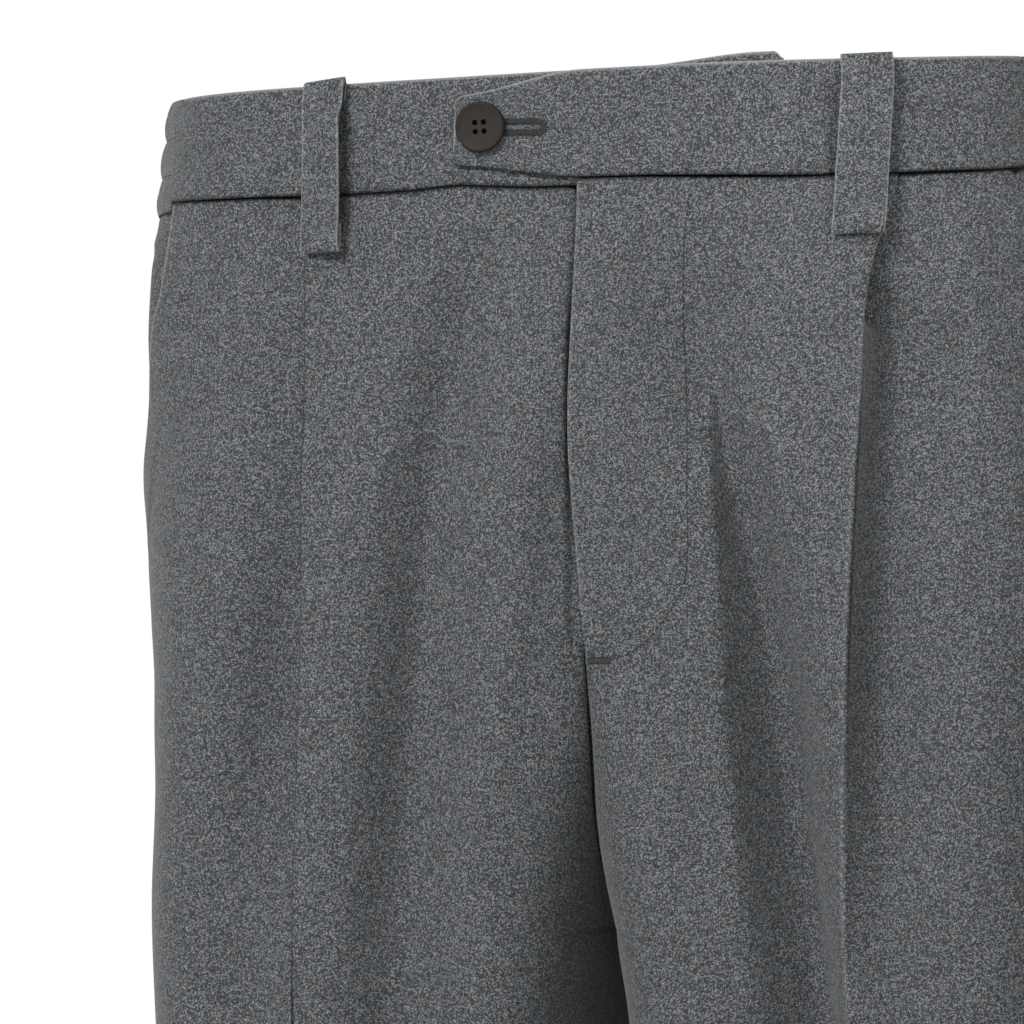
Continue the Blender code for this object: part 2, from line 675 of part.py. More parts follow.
def waistband_right(material):
    gap = SEAM_GAP / 2 / FORM[0].outer
    end = turn_at(UNDERLAP)
    turns = [gap - BAND_JOIN, *spread(-BAND_JOIN, turn_at(-0.06), 6)[1:], *spread(turn_at(-0.06), 0, 8)]
    turns += [*spread(0, end, 6), end]

    def top(turn):
        raised = UNDERLAP_RAISED * ease(turn, turn_at(0.3 * UNDERLAP), turn_at(0.87 * UNDERLAP))
        return raised - UNDERLAP_CORNER * ease(turn, turn_at(UNDERLAP - UNDERLAP_CORNER), end)

    def bottom(turn):
        return UNDERLAP_SHORT * ease(turn, 0, turn_at(FLY_LAP)) - band_height(-1, -turn)

    def lift(turn, part):
        return -UNDERLAP_SUNK * ease(turn, turn_at(-1.55 * TAB_LENGTH), turn_at(-1.08 * TAB_LENGTH))

    return band_sheet("waistband_right", turns, top, bottom, lift, 3, material)


def waistband_back(material):
    gap = SEAM_GAP / 2 / FORM[0].outer
    start, end = BAND_JOIN + gap, 2 * math.pi - BAND_JOIN - gap
    columns = 2 * GATHERS
    steps = 2 * CHANNELS
    rows = []
    for k in range(steps + 1):
        row = []
        for j in range(columns + 1):
            turn = mix(start, end, j / columns)
            side = 1 if turn <= math.pi else -1
            around = turn if turn <= math.pi else 2 * math.pi - turn
            inward = ease(min(j, columns - j), 0, GATHERS_GROW)
            sunk = BAND_SINKS * (1 - ease(turn, BAND_JOIN, BAND_SUNK_UNTIL))
            puff = PUFF if k % 2 else 0.0
            ripple = GATHER * (1 if j % 2 else -1) * (1.0 if k % 2 else 0.5)
            level = Level(mix(-sunk, -ELASTIC_HEIGHT, k / steps))
            row.append(skin(side, level, math.pi / 2 + around, (puff + ripple) * inward, folds=False))
        rows.append(row)
    return add_sheet("waistband_back", rows, BAND, material)


# A belt loop's middle line, seen from its side: height from the band's top, and stand off the form.
# It is sewn in under the band's top edge, turns over, runs down in front and tucks under below the seam.
Bend = namedtuple("Bend", "z lift")
LOOP_LINE = (
    Bend(-0.0060, 0.0024),
    Bend(-0.0005, 0.0025),
    Bend(0.0012, 0.0037),
    Bend(0.0002, 0.0050),
    Bend(-0.0080, 0.0054),
    Bend(-0.0220, 0.0055),
    Bend(-0.0380, 0.0055),
    Bend(-0.0500, 0.0057),
    Bend(-0.0562, 0.0059),
    Bend(-0.0580, 0.0049),
    Bend(-0.0564, 0.0037),
    Bend(-0.0490, 0.0035),
)


def belt_loop(name, turn, material, width=LOOP_WIDTH, lean=0.0, stand=0.0, shorter=0.0, lower=0.0, slant=0.0,
              twist=0.0):
    """lean moves the loop's foot towards the wearer's left, stand lifts the whole loop, lower sinks its
    top, slant raises the top's left end over its right one, and twist lifts its left edge."""
    length = LOOP_LINE[0].z - LOOP_LINE[-3].z
    rows = []
    for bend in LOOP_LINE:
        down = max(LOOP_LINE[0].z - bend.z, 0) / length
        upper = 1 - ease(down, 0.1, 0.6)
        z = bend.z + shorter * ease(down, 0.3, 0.8) - lower * upper
        per_metre = 1 / Level(z).run(math.pi / 2 + abs(turn))
        row = []
        for part in (-0.5, -0.17, 0.17, 0.5):
            level = Level(z + slant * part * upper)
            lift = bend.lift + stand + twist * (part + 0.5) * ease(down, 0.0, 0.12)
            place = turn + (part * width + lean * down) * per_metre
            side = 1 if abs(turn) == math.pi or place > 0 else -1
            angle = math.pi / 2 + side * place
            row.append(skin(side, level, angle, lift, folds=False))
        rows.append(row)
    return add_sheet(name, rows, STRAP, material)


def button(material):
    """A turned four-hole button: a sunk middle inside a rounded rim, on the tab."""
    profile = (
        (0.0, -0.5), (0.62, -0.5), (0.92, -0.28), (1.0, 0.05), (0.97, 0.38), (0.88, 0.5),
        (0.74, 0.44), (0.62, 0.16), (0.0, 0.12),
    )  # fmt: skip
    bm = bmesh.new()
    points = [bm.verts.new((r * BUTTON_RADIUS, 0, h * BUTTON_THICK)) for r, h in profile]
    edges = [bm.edges.new(pair) for pair in zip(points, points[1:])]
    bmesh.ops.spin(bm, geom=points + edges, axis=(0, 0, 1), steps=32, angle=2 * math.pi, use_merge=True)
    bmesh.ops.remove_doubles(bm, verts=bm.verts, dist=1e-6)
    bmesh.ops.recalc_face_normals(bm, faces=bm.faces)
    piece = add_object("button", bm, material)

    x, z = BUTTON_PLACE
    side, angle = band_angle(turn_at(x))
    level = Level(z)
    stand = TAB_RISE + BAND / 2 + BUTTON_GAP + BUTTON_THICK / 2
    foot = skin(side, level, angle, 0, folds=False)
    piece.location = skin(side, level, angle, stand, folds=False)
    out = piece.location - foot
    piece.rotation_mode = "QUATERNION"
    piece.rotation_quaternion = out.to_track_quat("Z", "Y")

    for across in (-1, 1):
        for up in (-1, 1):
            bm = bmesh.new()
            bmesh.ops.create_cone(
                bm, cap_ends=True, segments=10, radius1=HOLE_RADIUS, radius2=HOLE_RADIUS, depth=0.01
            )
            cutter = add_object(f"thread_hole_{across}_{up}", bm, material)
            cutter.parent = piece
            cutter.location = (across * HOLE_OUT, up * HOLE_OUT, 0)
            cutter.hide_render = True
            cutter.display_type = "WIRE"
            hole = piece.modifiers.new("thread hole", "BOOLEAN")
            hole.operation = "DIFFERENCE"
            hole.object = cutter
    return piece


for existing in list(bpy.data.objects):
    bpy.data.objects.remove(existing)

worsted = add_material("charcoal worsted cloth", CHARCOAL, 0.85)
banding = add_material("charcoal band cloth", CHARCOAL, 0.85)
horn = add_material("dark brown button", HORN, 0.45)

front_panel("front_left", 1, worsted)
front_panel("front_right", -1, worsted)
back_panel("back_left", 1, worsted)
back_panel("back_right", -1, worsted)
pocket_facing("pocket_facing_left", 1, worsted)
pocket_facing("pocket_facing_right", -1, worsted)
waistband_left(banding)
waistband_right(banding)
waistband_back(banding)
belt_loop("belt_loop_front_left", turn_at(0.0962), banding, lean=-0.0065, stand=0.0006, lower=0.0012)
belt_loop("belt_loop_front_right", turn_at(-0.0850), banding, width=0.0138, lean=0.0048, shorter=0.0024,
          slant=0.0012, twist=0.0042)
belt_loop("belt_loop_side_left", math.radians(118), banding, stand=0.0030)
belt_loop("belt_loop_side_right", math.radians(-118), banding, stand=0.0030)
belt_loop("belt_loop_centre_back", math.pi, banding, stand=0.0030)
button(horn)
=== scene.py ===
"""Pleated dress trousers in charcoal melange worsted: the looks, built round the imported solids.

Metres, +Z up. The front faces -Y and the wearer's left is +X. The origin is the middle of the waist,
level with the band's top edge at the centre front.
"""

import math
from collections import namedtuple

import bmesh
import bpy
import numpy as np
from mathutils import Matrix, Vector
from mathutils.bvhtree import BVHTree


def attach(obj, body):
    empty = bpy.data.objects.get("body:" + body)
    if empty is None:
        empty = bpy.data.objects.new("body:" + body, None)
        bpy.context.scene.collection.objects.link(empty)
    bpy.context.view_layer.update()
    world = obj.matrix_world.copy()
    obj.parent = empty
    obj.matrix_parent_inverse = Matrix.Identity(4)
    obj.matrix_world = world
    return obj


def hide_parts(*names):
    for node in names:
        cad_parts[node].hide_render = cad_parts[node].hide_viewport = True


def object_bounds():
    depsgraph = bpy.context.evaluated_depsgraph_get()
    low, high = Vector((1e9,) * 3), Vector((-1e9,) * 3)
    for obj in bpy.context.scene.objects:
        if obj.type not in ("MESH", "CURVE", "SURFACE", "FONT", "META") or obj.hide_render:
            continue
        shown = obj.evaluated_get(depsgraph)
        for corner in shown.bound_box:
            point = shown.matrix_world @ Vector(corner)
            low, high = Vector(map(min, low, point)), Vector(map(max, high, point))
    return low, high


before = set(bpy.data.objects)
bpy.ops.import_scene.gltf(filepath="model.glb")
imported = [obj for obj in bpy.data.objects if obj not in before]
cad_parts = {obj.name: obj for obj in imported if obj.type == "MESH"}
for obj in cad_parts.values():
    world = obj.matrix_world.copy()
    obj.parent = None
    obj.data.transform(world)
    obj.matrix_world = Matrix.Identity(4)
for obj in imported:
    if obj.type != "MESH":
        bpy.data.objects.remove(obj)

scene = bpy.context.scene
cad_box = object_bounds()


# Camera: level with the hips, a little to the wearer's left of straight ahead, through a long lens
# that takes in the waist and the tops of the legs.
VIEW_TURN = math.radians(12)
VIEW_WIDTH = 0.3423
VIEW_ACROSS = -0.0427
VIEW_HEIGHT = -0.146
VIEW_FROM = 9.0


def stand(name, data, place, back):
    """Puts a camera or a lamp at a place, with its back turned this way."""
    stood = bpy.data.objects.new(name, data)
    stood.location = place
    stood.rotation_mode = "QUATERNION"
    stood.rotation_quaternion = back.to_track_quat("Z", "Y")
    scene.collection.objects.link(stood)
    return stood


across_view = Vector((math.cos(VIEW_TURN), math.sin(VIEW_TURN), 0))
towards_viewer = Vector((math.sin(VIEW_TURN), -math.cos(VIEW_TURN), 0))
view_point = across_view * VIEW_ACROSS + towards_viewer * VIEW_FROM + Vector((0, 0, VIEW_HEIGHT))
lens = bpy.data.cameras.new("camera")
lens.lens = lens.sensor_width * VIEW_FROM / VIEW_WIDTH
lens.clip_end = 60
scene.camera = stand("camera", lens, view_point, towards_viewer)
scene.view_settings.view_transform = "Standard"


# Studio: a white room that lights the cloth evenly, one large soft lamp high on the viewer's left that
# models the pleats, a snooted one for the band's far end, and a plain pale floor just under the hems.
ROOM_LIGHT = 0.46
KEY_TURN, KEY_RISE, KEY_FAR = math.radians(-19), math.radians(32), 3.2
KEY_SIZE, KEY_POWER = 0.8, 60.0
KEY_AIM = Vector((0, -0.05, -0.25))
BAND_FROM, BAND_AIM = Vector((0.75, -1.0, 0.35)), Vector((0.155, -0.04, 0.005))
BAND_CONE, BAND_POWER, BAND_SOURCE = math.radians(13), 36.0, 0.15
FLOOR_GAP = 0.004
FLOOR_RADIUS = 6.0


def node(tree, kind, links=(), **settings):
    """Adds a node. A setting is one of its properties or, by number, the value of an input."""
    new = tree.nodes.new(kind)
    for name, value in settings.items():
        if name.startswith("value_"):
            new.inputs[int(name[6:])].default_value = value
        else:
            setattr(new, name, value)
    for place, source in dict(links).items():
        tree.links.new(source, new.inputs[place])
    return new


def new_material(name, roughness):
    """A material, its nodes and its shader."""
    material = bpy.data.materials.new(name)
    material.use_nodes = True
    shader = material.node_tree.nodes["Principled BSDF"]
    shader.inputs["Roughness"].default_value = roughness
    return material, material.node_tree, shader


def add_mesh(name, bm, material):
    """Puts a mesh into the scene, smooth, in one material."""
    mesh = bpy.data.meshes.new(name)
    bm.to_mesh(mesh)
    bm.free()
    mesh.materials.append(material)
    mesh.shade_smooth()
    made = bpy.data.objects.new(name, mesh)
    scene.collection.objects.link(made)
    return made


room = bpy.data.worlds.new("white room")
room.use_nodes = True
room_tree = room.node_tree
glow = room_tree.nodes["Background"]
glow.inputs["Color"].default_value = (1, 1, 1, 1)
glow.inputs["Strength"].default_value = ROOM_LIGHT
backdrop = node(room_tree, "ShaderNodeBackground", value_0=(1, 1, 1, 1))
seen = node(room_tree, "ShaderNodeLightPath").outputs["Is Camera Ray"]
either = node(room_tree, "ShaderNodeMixShader", {0: seen, 1: glow.outputs[0], 2: backdrop.outputs[0]})
room_tree.links.new(either.outputs[0], room_tree.nodes["World Output"].inputs["Surface"])
scene.world = room

from_key = Vector((
    math.sin(KEY_TURN) * math.cos(KEY_RISE), -math.cos(KEY_TURN) * math.cos(KEY_RISE), math.sin(KEY_RISE),
))
soft_lamp = bpy.data.lights.new("soft lamp", "AREA")
soft_lamp.energy = KEY_POWER
soft_lamp.size = KEY_SIZE
stand("soft lamp", soft_lamp, KEY_AIM + from_key * KEY_FAR, from_key)

snooted_lamp = bpy.data.lights.new("snooted lamp", "SPOT")
snooted_lamp.energy = BAND_POWER
snooted_lamp.spot_size = BAND_CONE
snooted_lamp.spot_blend = 1.0
snooted_lamp.shadow_soft_size = BAND_SOURCE
stand("snooted lamp", snooted_lamp, BAND_FROM, BAND_FROM - BAND_AIM)

floor_paint, floor_tree, floor_shader = new_material("pale studio floor", 0.9)
floor_shader.inputs["Base Color"].default_value = (0.78, 0.78, 0.77, 1)
round_floor = bmesh.new()
bmesh.ops.create_circle(round_floor, cap_ends=True, segments=96, radius=FLOOR_RADIUS,
                        matrix=Matrix.Translation((0, 0, cad_box[0].z - FLOOR_GAP)))
floor = add_mesh("floor", round_floor, floor_paint)


# The cloth: a worsted of light and dark wool spun together, in an even twill and pressed. Each float of a
# yarn shows its own grey, so the cloth is speckled, and its tint drifts between cool and warm.
YARN = 0.00028  # spacing; the real one is about 0.35 mm
FLECK = 0.0026  # along a yarn, from one grey to the next
CLOUD = 0.0060  # patches where one tint prevails
REPEAT = 4  # of the twill, in yarns
YARNS_APART = 5.19  # in the noise, so that no yarn repeats its neighbour's greys
SPUN_SHARE = 0.2  # how much of a yarn's grey comes from the run along it
TINTED = 0.42  # how much of the greys' tint the patches give
SHEEN, GLOSS = 0.20, 0.30
PAINTED_EDGE_STRENGTH = (0.8, 0.96)  # how much lighter a painted highlight, and how much darker a painted shade, along a line on the cloth can be

CLOTH_DARK = "292b2c"
CLOTH_MID = "4b4d4f"
CLOTH_LIGHT = "97999b"
# the colours towards which painted highlights and painted shade along lines on the cloth go
PAINTED_HIGHLIGHT = "a9abad"
PAINTED_SHADE = "101112"
COOL_TINT = "5a6467"
WARM_TINT = "635e63"


def linear(hex_colour):
    """An sRGB colour as linear values, with alpha."""
    parts = [int(hex_colour[k:k + 2], 16) / 255 for k in (0, 2, 4)]
    return [c / 12.92 if c < 0.04045 else ((c + 0.055) / 1.055) ** 2.4 for c in parts] + [1.0]


def ramp(tree, source, *stops):
    """A colour for each value, through these places and colours."""
    made = node(tree, "ShaderNodeValToRGB", {0: source})
    elements = made.color_ramp.elements
    elements[1].position, elements[1].color = stops[-1]
    elements[0].position, elements[0].color = stops[0]
    for place, colour in stops[1:-1]:
        elements.new(place).color = colour
    return made.outputs[0]


def worsted(name, seed):
    """Melange worsted, with its yarns along the UV map weave, which is in metres of cloth. The attribute
    pressed paints highlights where it is above zero, along folded edges, and paints shade where it is
    below zero, inside folds, along seams and beside edges."""
    material, tree, shader = new_material(name, 0.82)
    shader.inputs["Sheen Roughness"].default_value = 0.45

    def maths(operation, first, second=0):
        made = node(tree, "ShaderNodeMath", operation=operation)
        for place, given in enumerate((first, second)):
            if isinstance(given, (int, float)):
                made.inputs[place].default_value = given
            else:
                tree.links.new(given, made.inputs[place])
        return made.outputs[0]

    weave = node(tree, "ShaderNodeUVMap", uv_map="weave").outputs["UV"]
    yarns = node(tree, "ShaderNodeVectorMath", {0: weave}, operation="SCALE", value_3=1 / YARN).outputs[0]
    cell = node(tree, "ShaderNodeVectorMath", {0: yarns}, operation="FLOOR").outputs[0]
    at = node(tree, "ShaderNodeSeparateXYZ", {0: yarns}).outputs
    cell_at = node(tree, "ShaderNodeSeparateXYZ", {0: cell}).outputs
    diagonal = maths("ADD", cell_at[0], cell_at[1])
    step = maths("FLOOR", maths("DIVIDE", diagonal, REPEAT))
    over = maths("LESS_THAN", maths("FLOORED_MODULO", diagonal, REPEAT), REPEAT / 2)

    def greys_along(yarn, number, run):
        """The greys of one set of yarns: a yarn's own number, its float's number, and the run along it."""
        place = node(tree, "ShaderNodeCombineXYZ", {0: yarn, 1: number}, value_2=seed)
        own = node(tree, "ShaderNodeTexWhiteNoise", {0: place.outputs[0]}).outputs["Value"]
        apart = maths("MULTIPLY", yarn, YARNS_APART)
        fleck = maths("MULTIPLY", run, YARN / FLECK)
        spun = node(tree, "ShaderNodeCombineXYZ", {0: apart, 1: fleck}, value_2=seed).outputs[0]
        slow = node(tree, "ShaderNodeTexNoise", {0: spun}, value_2=1.0, value_3=1.0, value_4=0.6)
        return node(tree, "ShaderNodeMix", {2: own, 3: slow.outputs[0]}, value_0=SPUN_SHARE).outputs[0]

    warp = greys_along(cell_at[0], step, at[1])
    weft = greys_along(cell_at[1], maths("ADD", step, 0.5), at[0])
    shown = node(tree, "ShaderNodeMix", {0: over, 2: warp, 3: weft}).outputs[0]
    greys = ramp(tree, shown, (0.06, linear(CLOTH_DARK)), (0.55, linear(CLOTH_MID)),
                 (0.96, linear(CLOTH_LIGHT)))
    patch = node(tree, "ShaderNodeTexNoise", {0: weave}, value_2=1 / CLOUD, value_3=2.0, value_4=0.55)
    tint = ramp(tree, patch.outputs[0], (0.36, linear(COOL_TINT)), (0.64, linear(WARM_TINT)))
    colour = node(tree, "ShaderNodeMix", {6: greys, 7: tint}, data_type="RGBA", blend_type="COLOR",
                  value_0=TINTED)

    # painted highlights where the attribute pressed is above zero, painted shade where it is below zero
    edge = node(tree, "ShaderNodeAttribute", attribute_name="pressed").outputs["Fac"]
    light = maths("MULTIPLY", maths("MAXIMUM", edge), PAINTED_EDGE_STRENGTH[0])
    dark = maths("MULTIPLY", maths("MAXIMUM", maths("MULTIPLY", edge, -1)), PAINTED_EDGE_STRENGTH[1])
    lit = node(tree, "ShaderNodeMix", {0: light, 6: colour.outputs[2]}, data_type="RGBA",
               value_7=linear(PAINTED_HIGHLIGHT))
    shaded = node(tree, "ShaderNodeMix", {0: dark, 6: lit.outputs[2]}, data_type="RGBA",
                  value_7=linear(PAINTED_SHADE))
    tree.links.new(shaded.outputs[2], shader.inputs["Base Color"])
    # where shade is painted, the sheen and the gloss are taken away with it
    outside_painted_shade = maths("SUBTRACT", 1, dark)
    tree.links.new(maths("MULTIPLY", outside_painted_shade, SHEEN), shader.inputs["Sheen Weight"])
    tree.links.new(maths("MULTIPLY", outside_painted_shade, GLOSS), shader.inputs["Specular IOR Level"])
    return material


leg_cloth = worsted("charcoal melange worsted, pressed", 0.0)


# The form that all the cut pieces follow, and how the waist is tilted. A place on it is a side (+1 for
# the wearer's left), a height z before the tilt, and an angle round that side: 0 at the inseam, 90
# degrees in front, 180 at the side seam and 270 behind.
TILT = math.tan(math.radians(3.0))
PITCH = math.tan(math.radians(1.8))
LEVEL_BELOW = -0.300
FORK = -0.285
HEM = -0.985
BRIDGE = 0.050  # half the width that the seat spans without dipping to its seam
SQUARE_INNER = (1.0, 0.4)  # how much squarer than an ellipse the form is at the inseams, front and back
SQUARE_OUTER = (0.65, 0.0)  # and at the side seams
SQUARE_KNEE = 0.2  # the share of that left at the knee
SQUARE_FADES = (-0.33, -0.55)
SEAM_GAP = 0.00005
NEAR_SIDE = 0.003  # radians from the side seam, where the cloth's run is measured beside it

Ring = namedtuple("Ring", "z outer inner front back")
FORM = (
    Ring(0.000, 0.1545, 0.0000, 0.105, 0.104),
    Ring(-0.037, 0.1592, 0.0000, 0.107, 0.107),
    Ring(-0.055, 0.1618, 0.0000, 0.109, 0.111),
    Ring(-0.078, 0.1626, 0.0000, 0.112, 0.117),
    Ring(-0.126, 0.1622, 0.0000, 0.117, 0.130),
    Ring(-0.168, 0.1628, 0.0000, 0.118, 0.138),
    Ring(-0.205, 0.1628, 0.0000, 0.118, 0.138),
    Ring(-0.242, 0.1606, 0.0000, 0.117, 0.134),
    Ring(FORK, 0.1612, 0.0000, 0.114, 0.125),
    Ring(-0.310, 0.1606, 0.0035, 0.112, 0.119),
    Ring(-0.340, 0.1592, 0.0065, 0.109, 0.114),
    Ring(-0.450, 0.1539, 0.0130, 0.098, 0.099),
    Ring(-0.615, 0.1443, 0.0185, 0.084, 0.086),
    Ring(-0.800, 0.1358, 0.0280, 0.074, 0.077),
    Ring(HEM, 0.1344, 0.0380, 0.069, 0.073),
)

# How far the legs have parted: 0 is one body, 1 two full legs. shift moves the legs' plane along X, and
# bridge is how far the cloth spans the seat.
Parting = namedtuple("Parting", "z front back shift bridge")
PARTING = (
    Parting(-0.095, 0.000, 0.000, 0.0000, 0.0),
    Parting(-0.110, 0.020, 0.015, 0.0000, 0.5),
    Parting(-0.130, 0.200, 0.080, 0.0004, 1.0),
    Parting(-0.155, 0.440, 0.200, 0.0020, 1.0),
    Parting(-0.180, 0.640, 0.350, 0.0042, 1.0),
    Parting(-0.200, 0.765, 0.470, 0.0056, 1.0),
    Parting(-0.225, 0.850, 0.630, 0.0046, 0.7),
    Parting(-0.250, 0.910, 0.790, 0.0034, 0.3),
    Parting(-0.270, 0.960, 0.920, 0.0028, 0.0),
    Parting(FORK, 1.000, 1.000, 0.0028, 0.0),
)


def ease(value, start, end):
    """0 at start and 1 at end, with a smooth run between them."""
    part = np.clip((value - start) / (end - start), 0.0, 1.0)
    return part * part * (3 - 2 * part)


def mix(first, second, part):
    return first + (second - first) * part


def close_to(distance, width):
    """1 along a line that fades out over its width on both sides."""
    return np.exp(-((distance / width) ** 2))


def along(rows, z, column):
    """A column's values at the heights z, on a smooth curve through the rows."""
    heights = np.array([row.z for row in reversed(rows)])
    values = np.array([getattr(row, column) for row in reversed(rows)])
    before = np.maximum(np.arange(len(rows)) - 1, 0)
    after = np.minimum(np.arange(len(rows)) + 1, len(rows) - 1)
    slopes = (values[after] - values[before]) / (heights[after] - heights[before])
    z = np.clip(z, heights[0], heights[-1])
    low = np.clip(np.searchsorted(heights, z, side="right") - 1, 0, len(rows) - 2)
    span = heights[low + 1] - heights[low]
    part = (z - heights[low]) / span
    bend_low = part * (1 - part) ** 2 * slopes[low] * span
    bend_high = part**2 * (part - 1) * slopes[low + 1] * span
    return mix(values[low], values[low + 1], ease(part, 0, 1)) + bend_low + bend_high


class Level:
    """The form's rings at an array of heights. Pairs hold the front's values and the back's."""

    def __init__(self, z):
        self.z = z
        self.outer = along(FORM, z, "outer")
        self.inner = np.maximum(along(FORM, z, "inner"), 0.0)
        self.depth = along(FORM, z, "front"), along(FORM, z, "back")
        self.split = [np.clip(along(PARTING, z, name), 0, 1) for name in ("front", "back")]
        self.bridge = np.zeros_like(self.outer), np.clip(along(PARTING, z, "bridge"), 0, 1)
        left = mix(1, SQUARE_KNEE, ease(z, *SQUARE_FADES))
        self.inner_square = [share * left for share in SQUARE_INNER]
        self.outer_square = [share * left for share in SQUARE_OUTER]
        self.shift = along(PARTING, z, "shift")

    def half(self, front):
        return (self.outer - self.inner) / (1 + np.where(front, *self.split))

    def centre(self, front):
        return self.inner + np.where(front, *self.split) * self.half(front)

    def angle_at(self, front, x):
        """The angle, between 0 and 180 degrees, of the point this far from the legs' centre plane."""
        return np.arccos(np.clip((self.centre(front) - x) / self.half(front), -1, 1))

    def rise(self, front, angle):
        """The outline's share of its full depth."""
        inner = np.where(front, *self.inner_square) * np.maximum(np.cos(angle), 0) ** 3
        outer = np.where(front, *self.outer_square) * np.maximum(-np.cos(angle), 0) ** 3
        return np.sin(angle) * (1 + inner + outer)

    def outline(self, angle):
        """Metres out from the legs' centre plane, and metres along Y."""
        front = np.sin(angle) > 0
        x = self.centre(front) - self.half(front) * np.cos(angle)
        depth = np.where(front, *self.depth)
        y = -depth * self.rise(front, angle)
        edge = self.rise(front, self.angle_at(front, 0.0))
        far = self.rise(front, self.angle_at(front, BRIDGE))
        spanned = mix(edge, far, ease(np.abs(x), 0, BRIDGE)) * np.copysign(depth, y)
        return x, np.where(np.abs(x) < BRIDGE, mix(y, spanned, np.where(front, *self.bridge)), y)

    def run(self, angle):
        """Metres along the cloth for one radian, at this angle."""
        before, after = self.outline(angle - 0.002), self.outline(angle + 0.002)
        return np.hypot(after[0] - before[0], after[1] - before[1]) / 0.004


CREST_SOFT = 0.10  # roundness of a fold's crest, as a share of its width


def fold_lift(folds, z, x):
    """How far troughs and ridges lift the cloth, at this height and distance from the waist's centre."""
    total = np.zeros(np.broadcast(z, x).shape)
    for rows in folds:
        away = x - along(rows, z, "x")
        width = np.where(away > 0, along(rows, z, "far"), along(rows, z, "near"))
        spread_out = (away / width) ** 2
        crested = CREST_SOFT * np.log1p(np.exp(np.clip((1 - spread_out) / CREST_SOFT, -40, 40)))
        share = mix(np.exp(-spread_out), crested, np.where(away > 0, 0, along(rows, z, "crest")))
        inside = (z < rows[0].z) & (z > rows[-1].z)
        total += np.where(inside, along(rows, z, "lift") * share, 0)
    return total


def pose(x, y, z):
    """Tilts the waist, less and less down to the fork."""
    lean = 1 - ease(z, 0, LEVEL_BELOW)
    return np.stack((x, y, z + lean * (TILT * x - PITCH * (y + FORM[0].front))), axis=-1)


def skin(side, z, angle, lift=0.0, folds=None):
    """World points at these angles, lifted off the form, where folds(level, x) adds to the lift. Its x is
    the distance from the waist's centre plane."""
    z, angle = np.broadcast_arrays(z, angle)
    level = Level(z)
    x, y = level.outline(angle)
    before, after = level.outline(angle - 0.002), level.outline(angle + 0.002)
    out_x, out_y = after[1] - before[1], before[0] - after[0]
    length = np.hypot(out_x, out_y)
    if folds:
        lift = lift + folds(level, x + side * level.shift)
    return pose(side * (x + out_x / length * lift) + level.shift, y + out_y / length * lift, z)


# The front legs: each is cut in one, with one pleat folded towards the pocket in three layers under the
# band, which opens downwards into the pressed crease. The wearer's left front is folded at the fly and
# laps over the right one. The hem is turned up inside.
CLOTH = 0.0010
FLY_LAP = 0.012
FLY_BACK = 0.0014  # how far the fly's edge stands back from the centre at its top
FLY_END = -0.180
LAP_STEP = 0.0015
LAYER = 0.0015
ELASTIC_HEIGHT = 0.0375
BAND_LOW = {  # how far the bands' lower edge lies below the waist, by degrees from the centre front
    1: ((0, 0.0354), (9, 0.0359), (19, 0.0372), (28, 0.0384), (38, 0.0390), (50, 0.0389), (57, 0.0388),
        (62, 0.0384), (66, 0.0381)),
    -1: ((0, 0.0381), (5, 0.0378), (10, 0.0368), (14, 0.0358), (17, 0.0360), (20, 0.0366), (31, 0.0368),
         (43, 0.0358), (66, 0.0345)),
}
BAND_SINKS = 0.0015  # how far the left band's top sinks towards the elastic
BAND_SINKS_OVER = math.radians(12), math.radians(55)
BAND_JOIN = math.radians(66)
EDGE_ROOM = 0.00065
MOUTH = (  # how far in front of the side seam the pocket mouth lies, by height, on the wearer's right
    (-0.190, 0.0), (-0.130, 0.055), (-0.116, 0.064), (-0.102, 0.070), (-0.084, 0.074), (-0.074, 0.079),
    (-0.067, 0.085), (-0.058, 0.086), (-0.048, 0.085), (-0.0375, 0.083),
)
MOUTH_LEFT = 0.90  # its size on the wearer's left
MOUTH_END = MOUTH[0][0]
GAPE = 0.0016  # how far its edge stands out, and how much more near the height GAPE_MOST
GAPE_MORE, GAPE_MOST, GAPE_SPREAD = 0.0012, -0.075, 0.022
PANEL_TOP = -0.037
FINE_DOWN_TO = -0.330
HEM_DEPTH = 0.035
HEM_TURN = 0.0009  # radius of the fold
SEAM_ROLL = 0.00055  # how far a sewn edge dips into its seam
SEAM_ROLL_WIDTH = 0.0014
ALLOWANCE = (  # the seam allowance turned in behind the band, down into the seam: height over it, lift
    (0.0034, -0.0044), (0.0024, -0.0043), (0.0016, -0.0040), (0.0010, -0.0032), (0.0005, -0.0020),
    (0.0001, -0.0010), (-0.0002, -0.0004), (-0.0005, -0.0001),
)

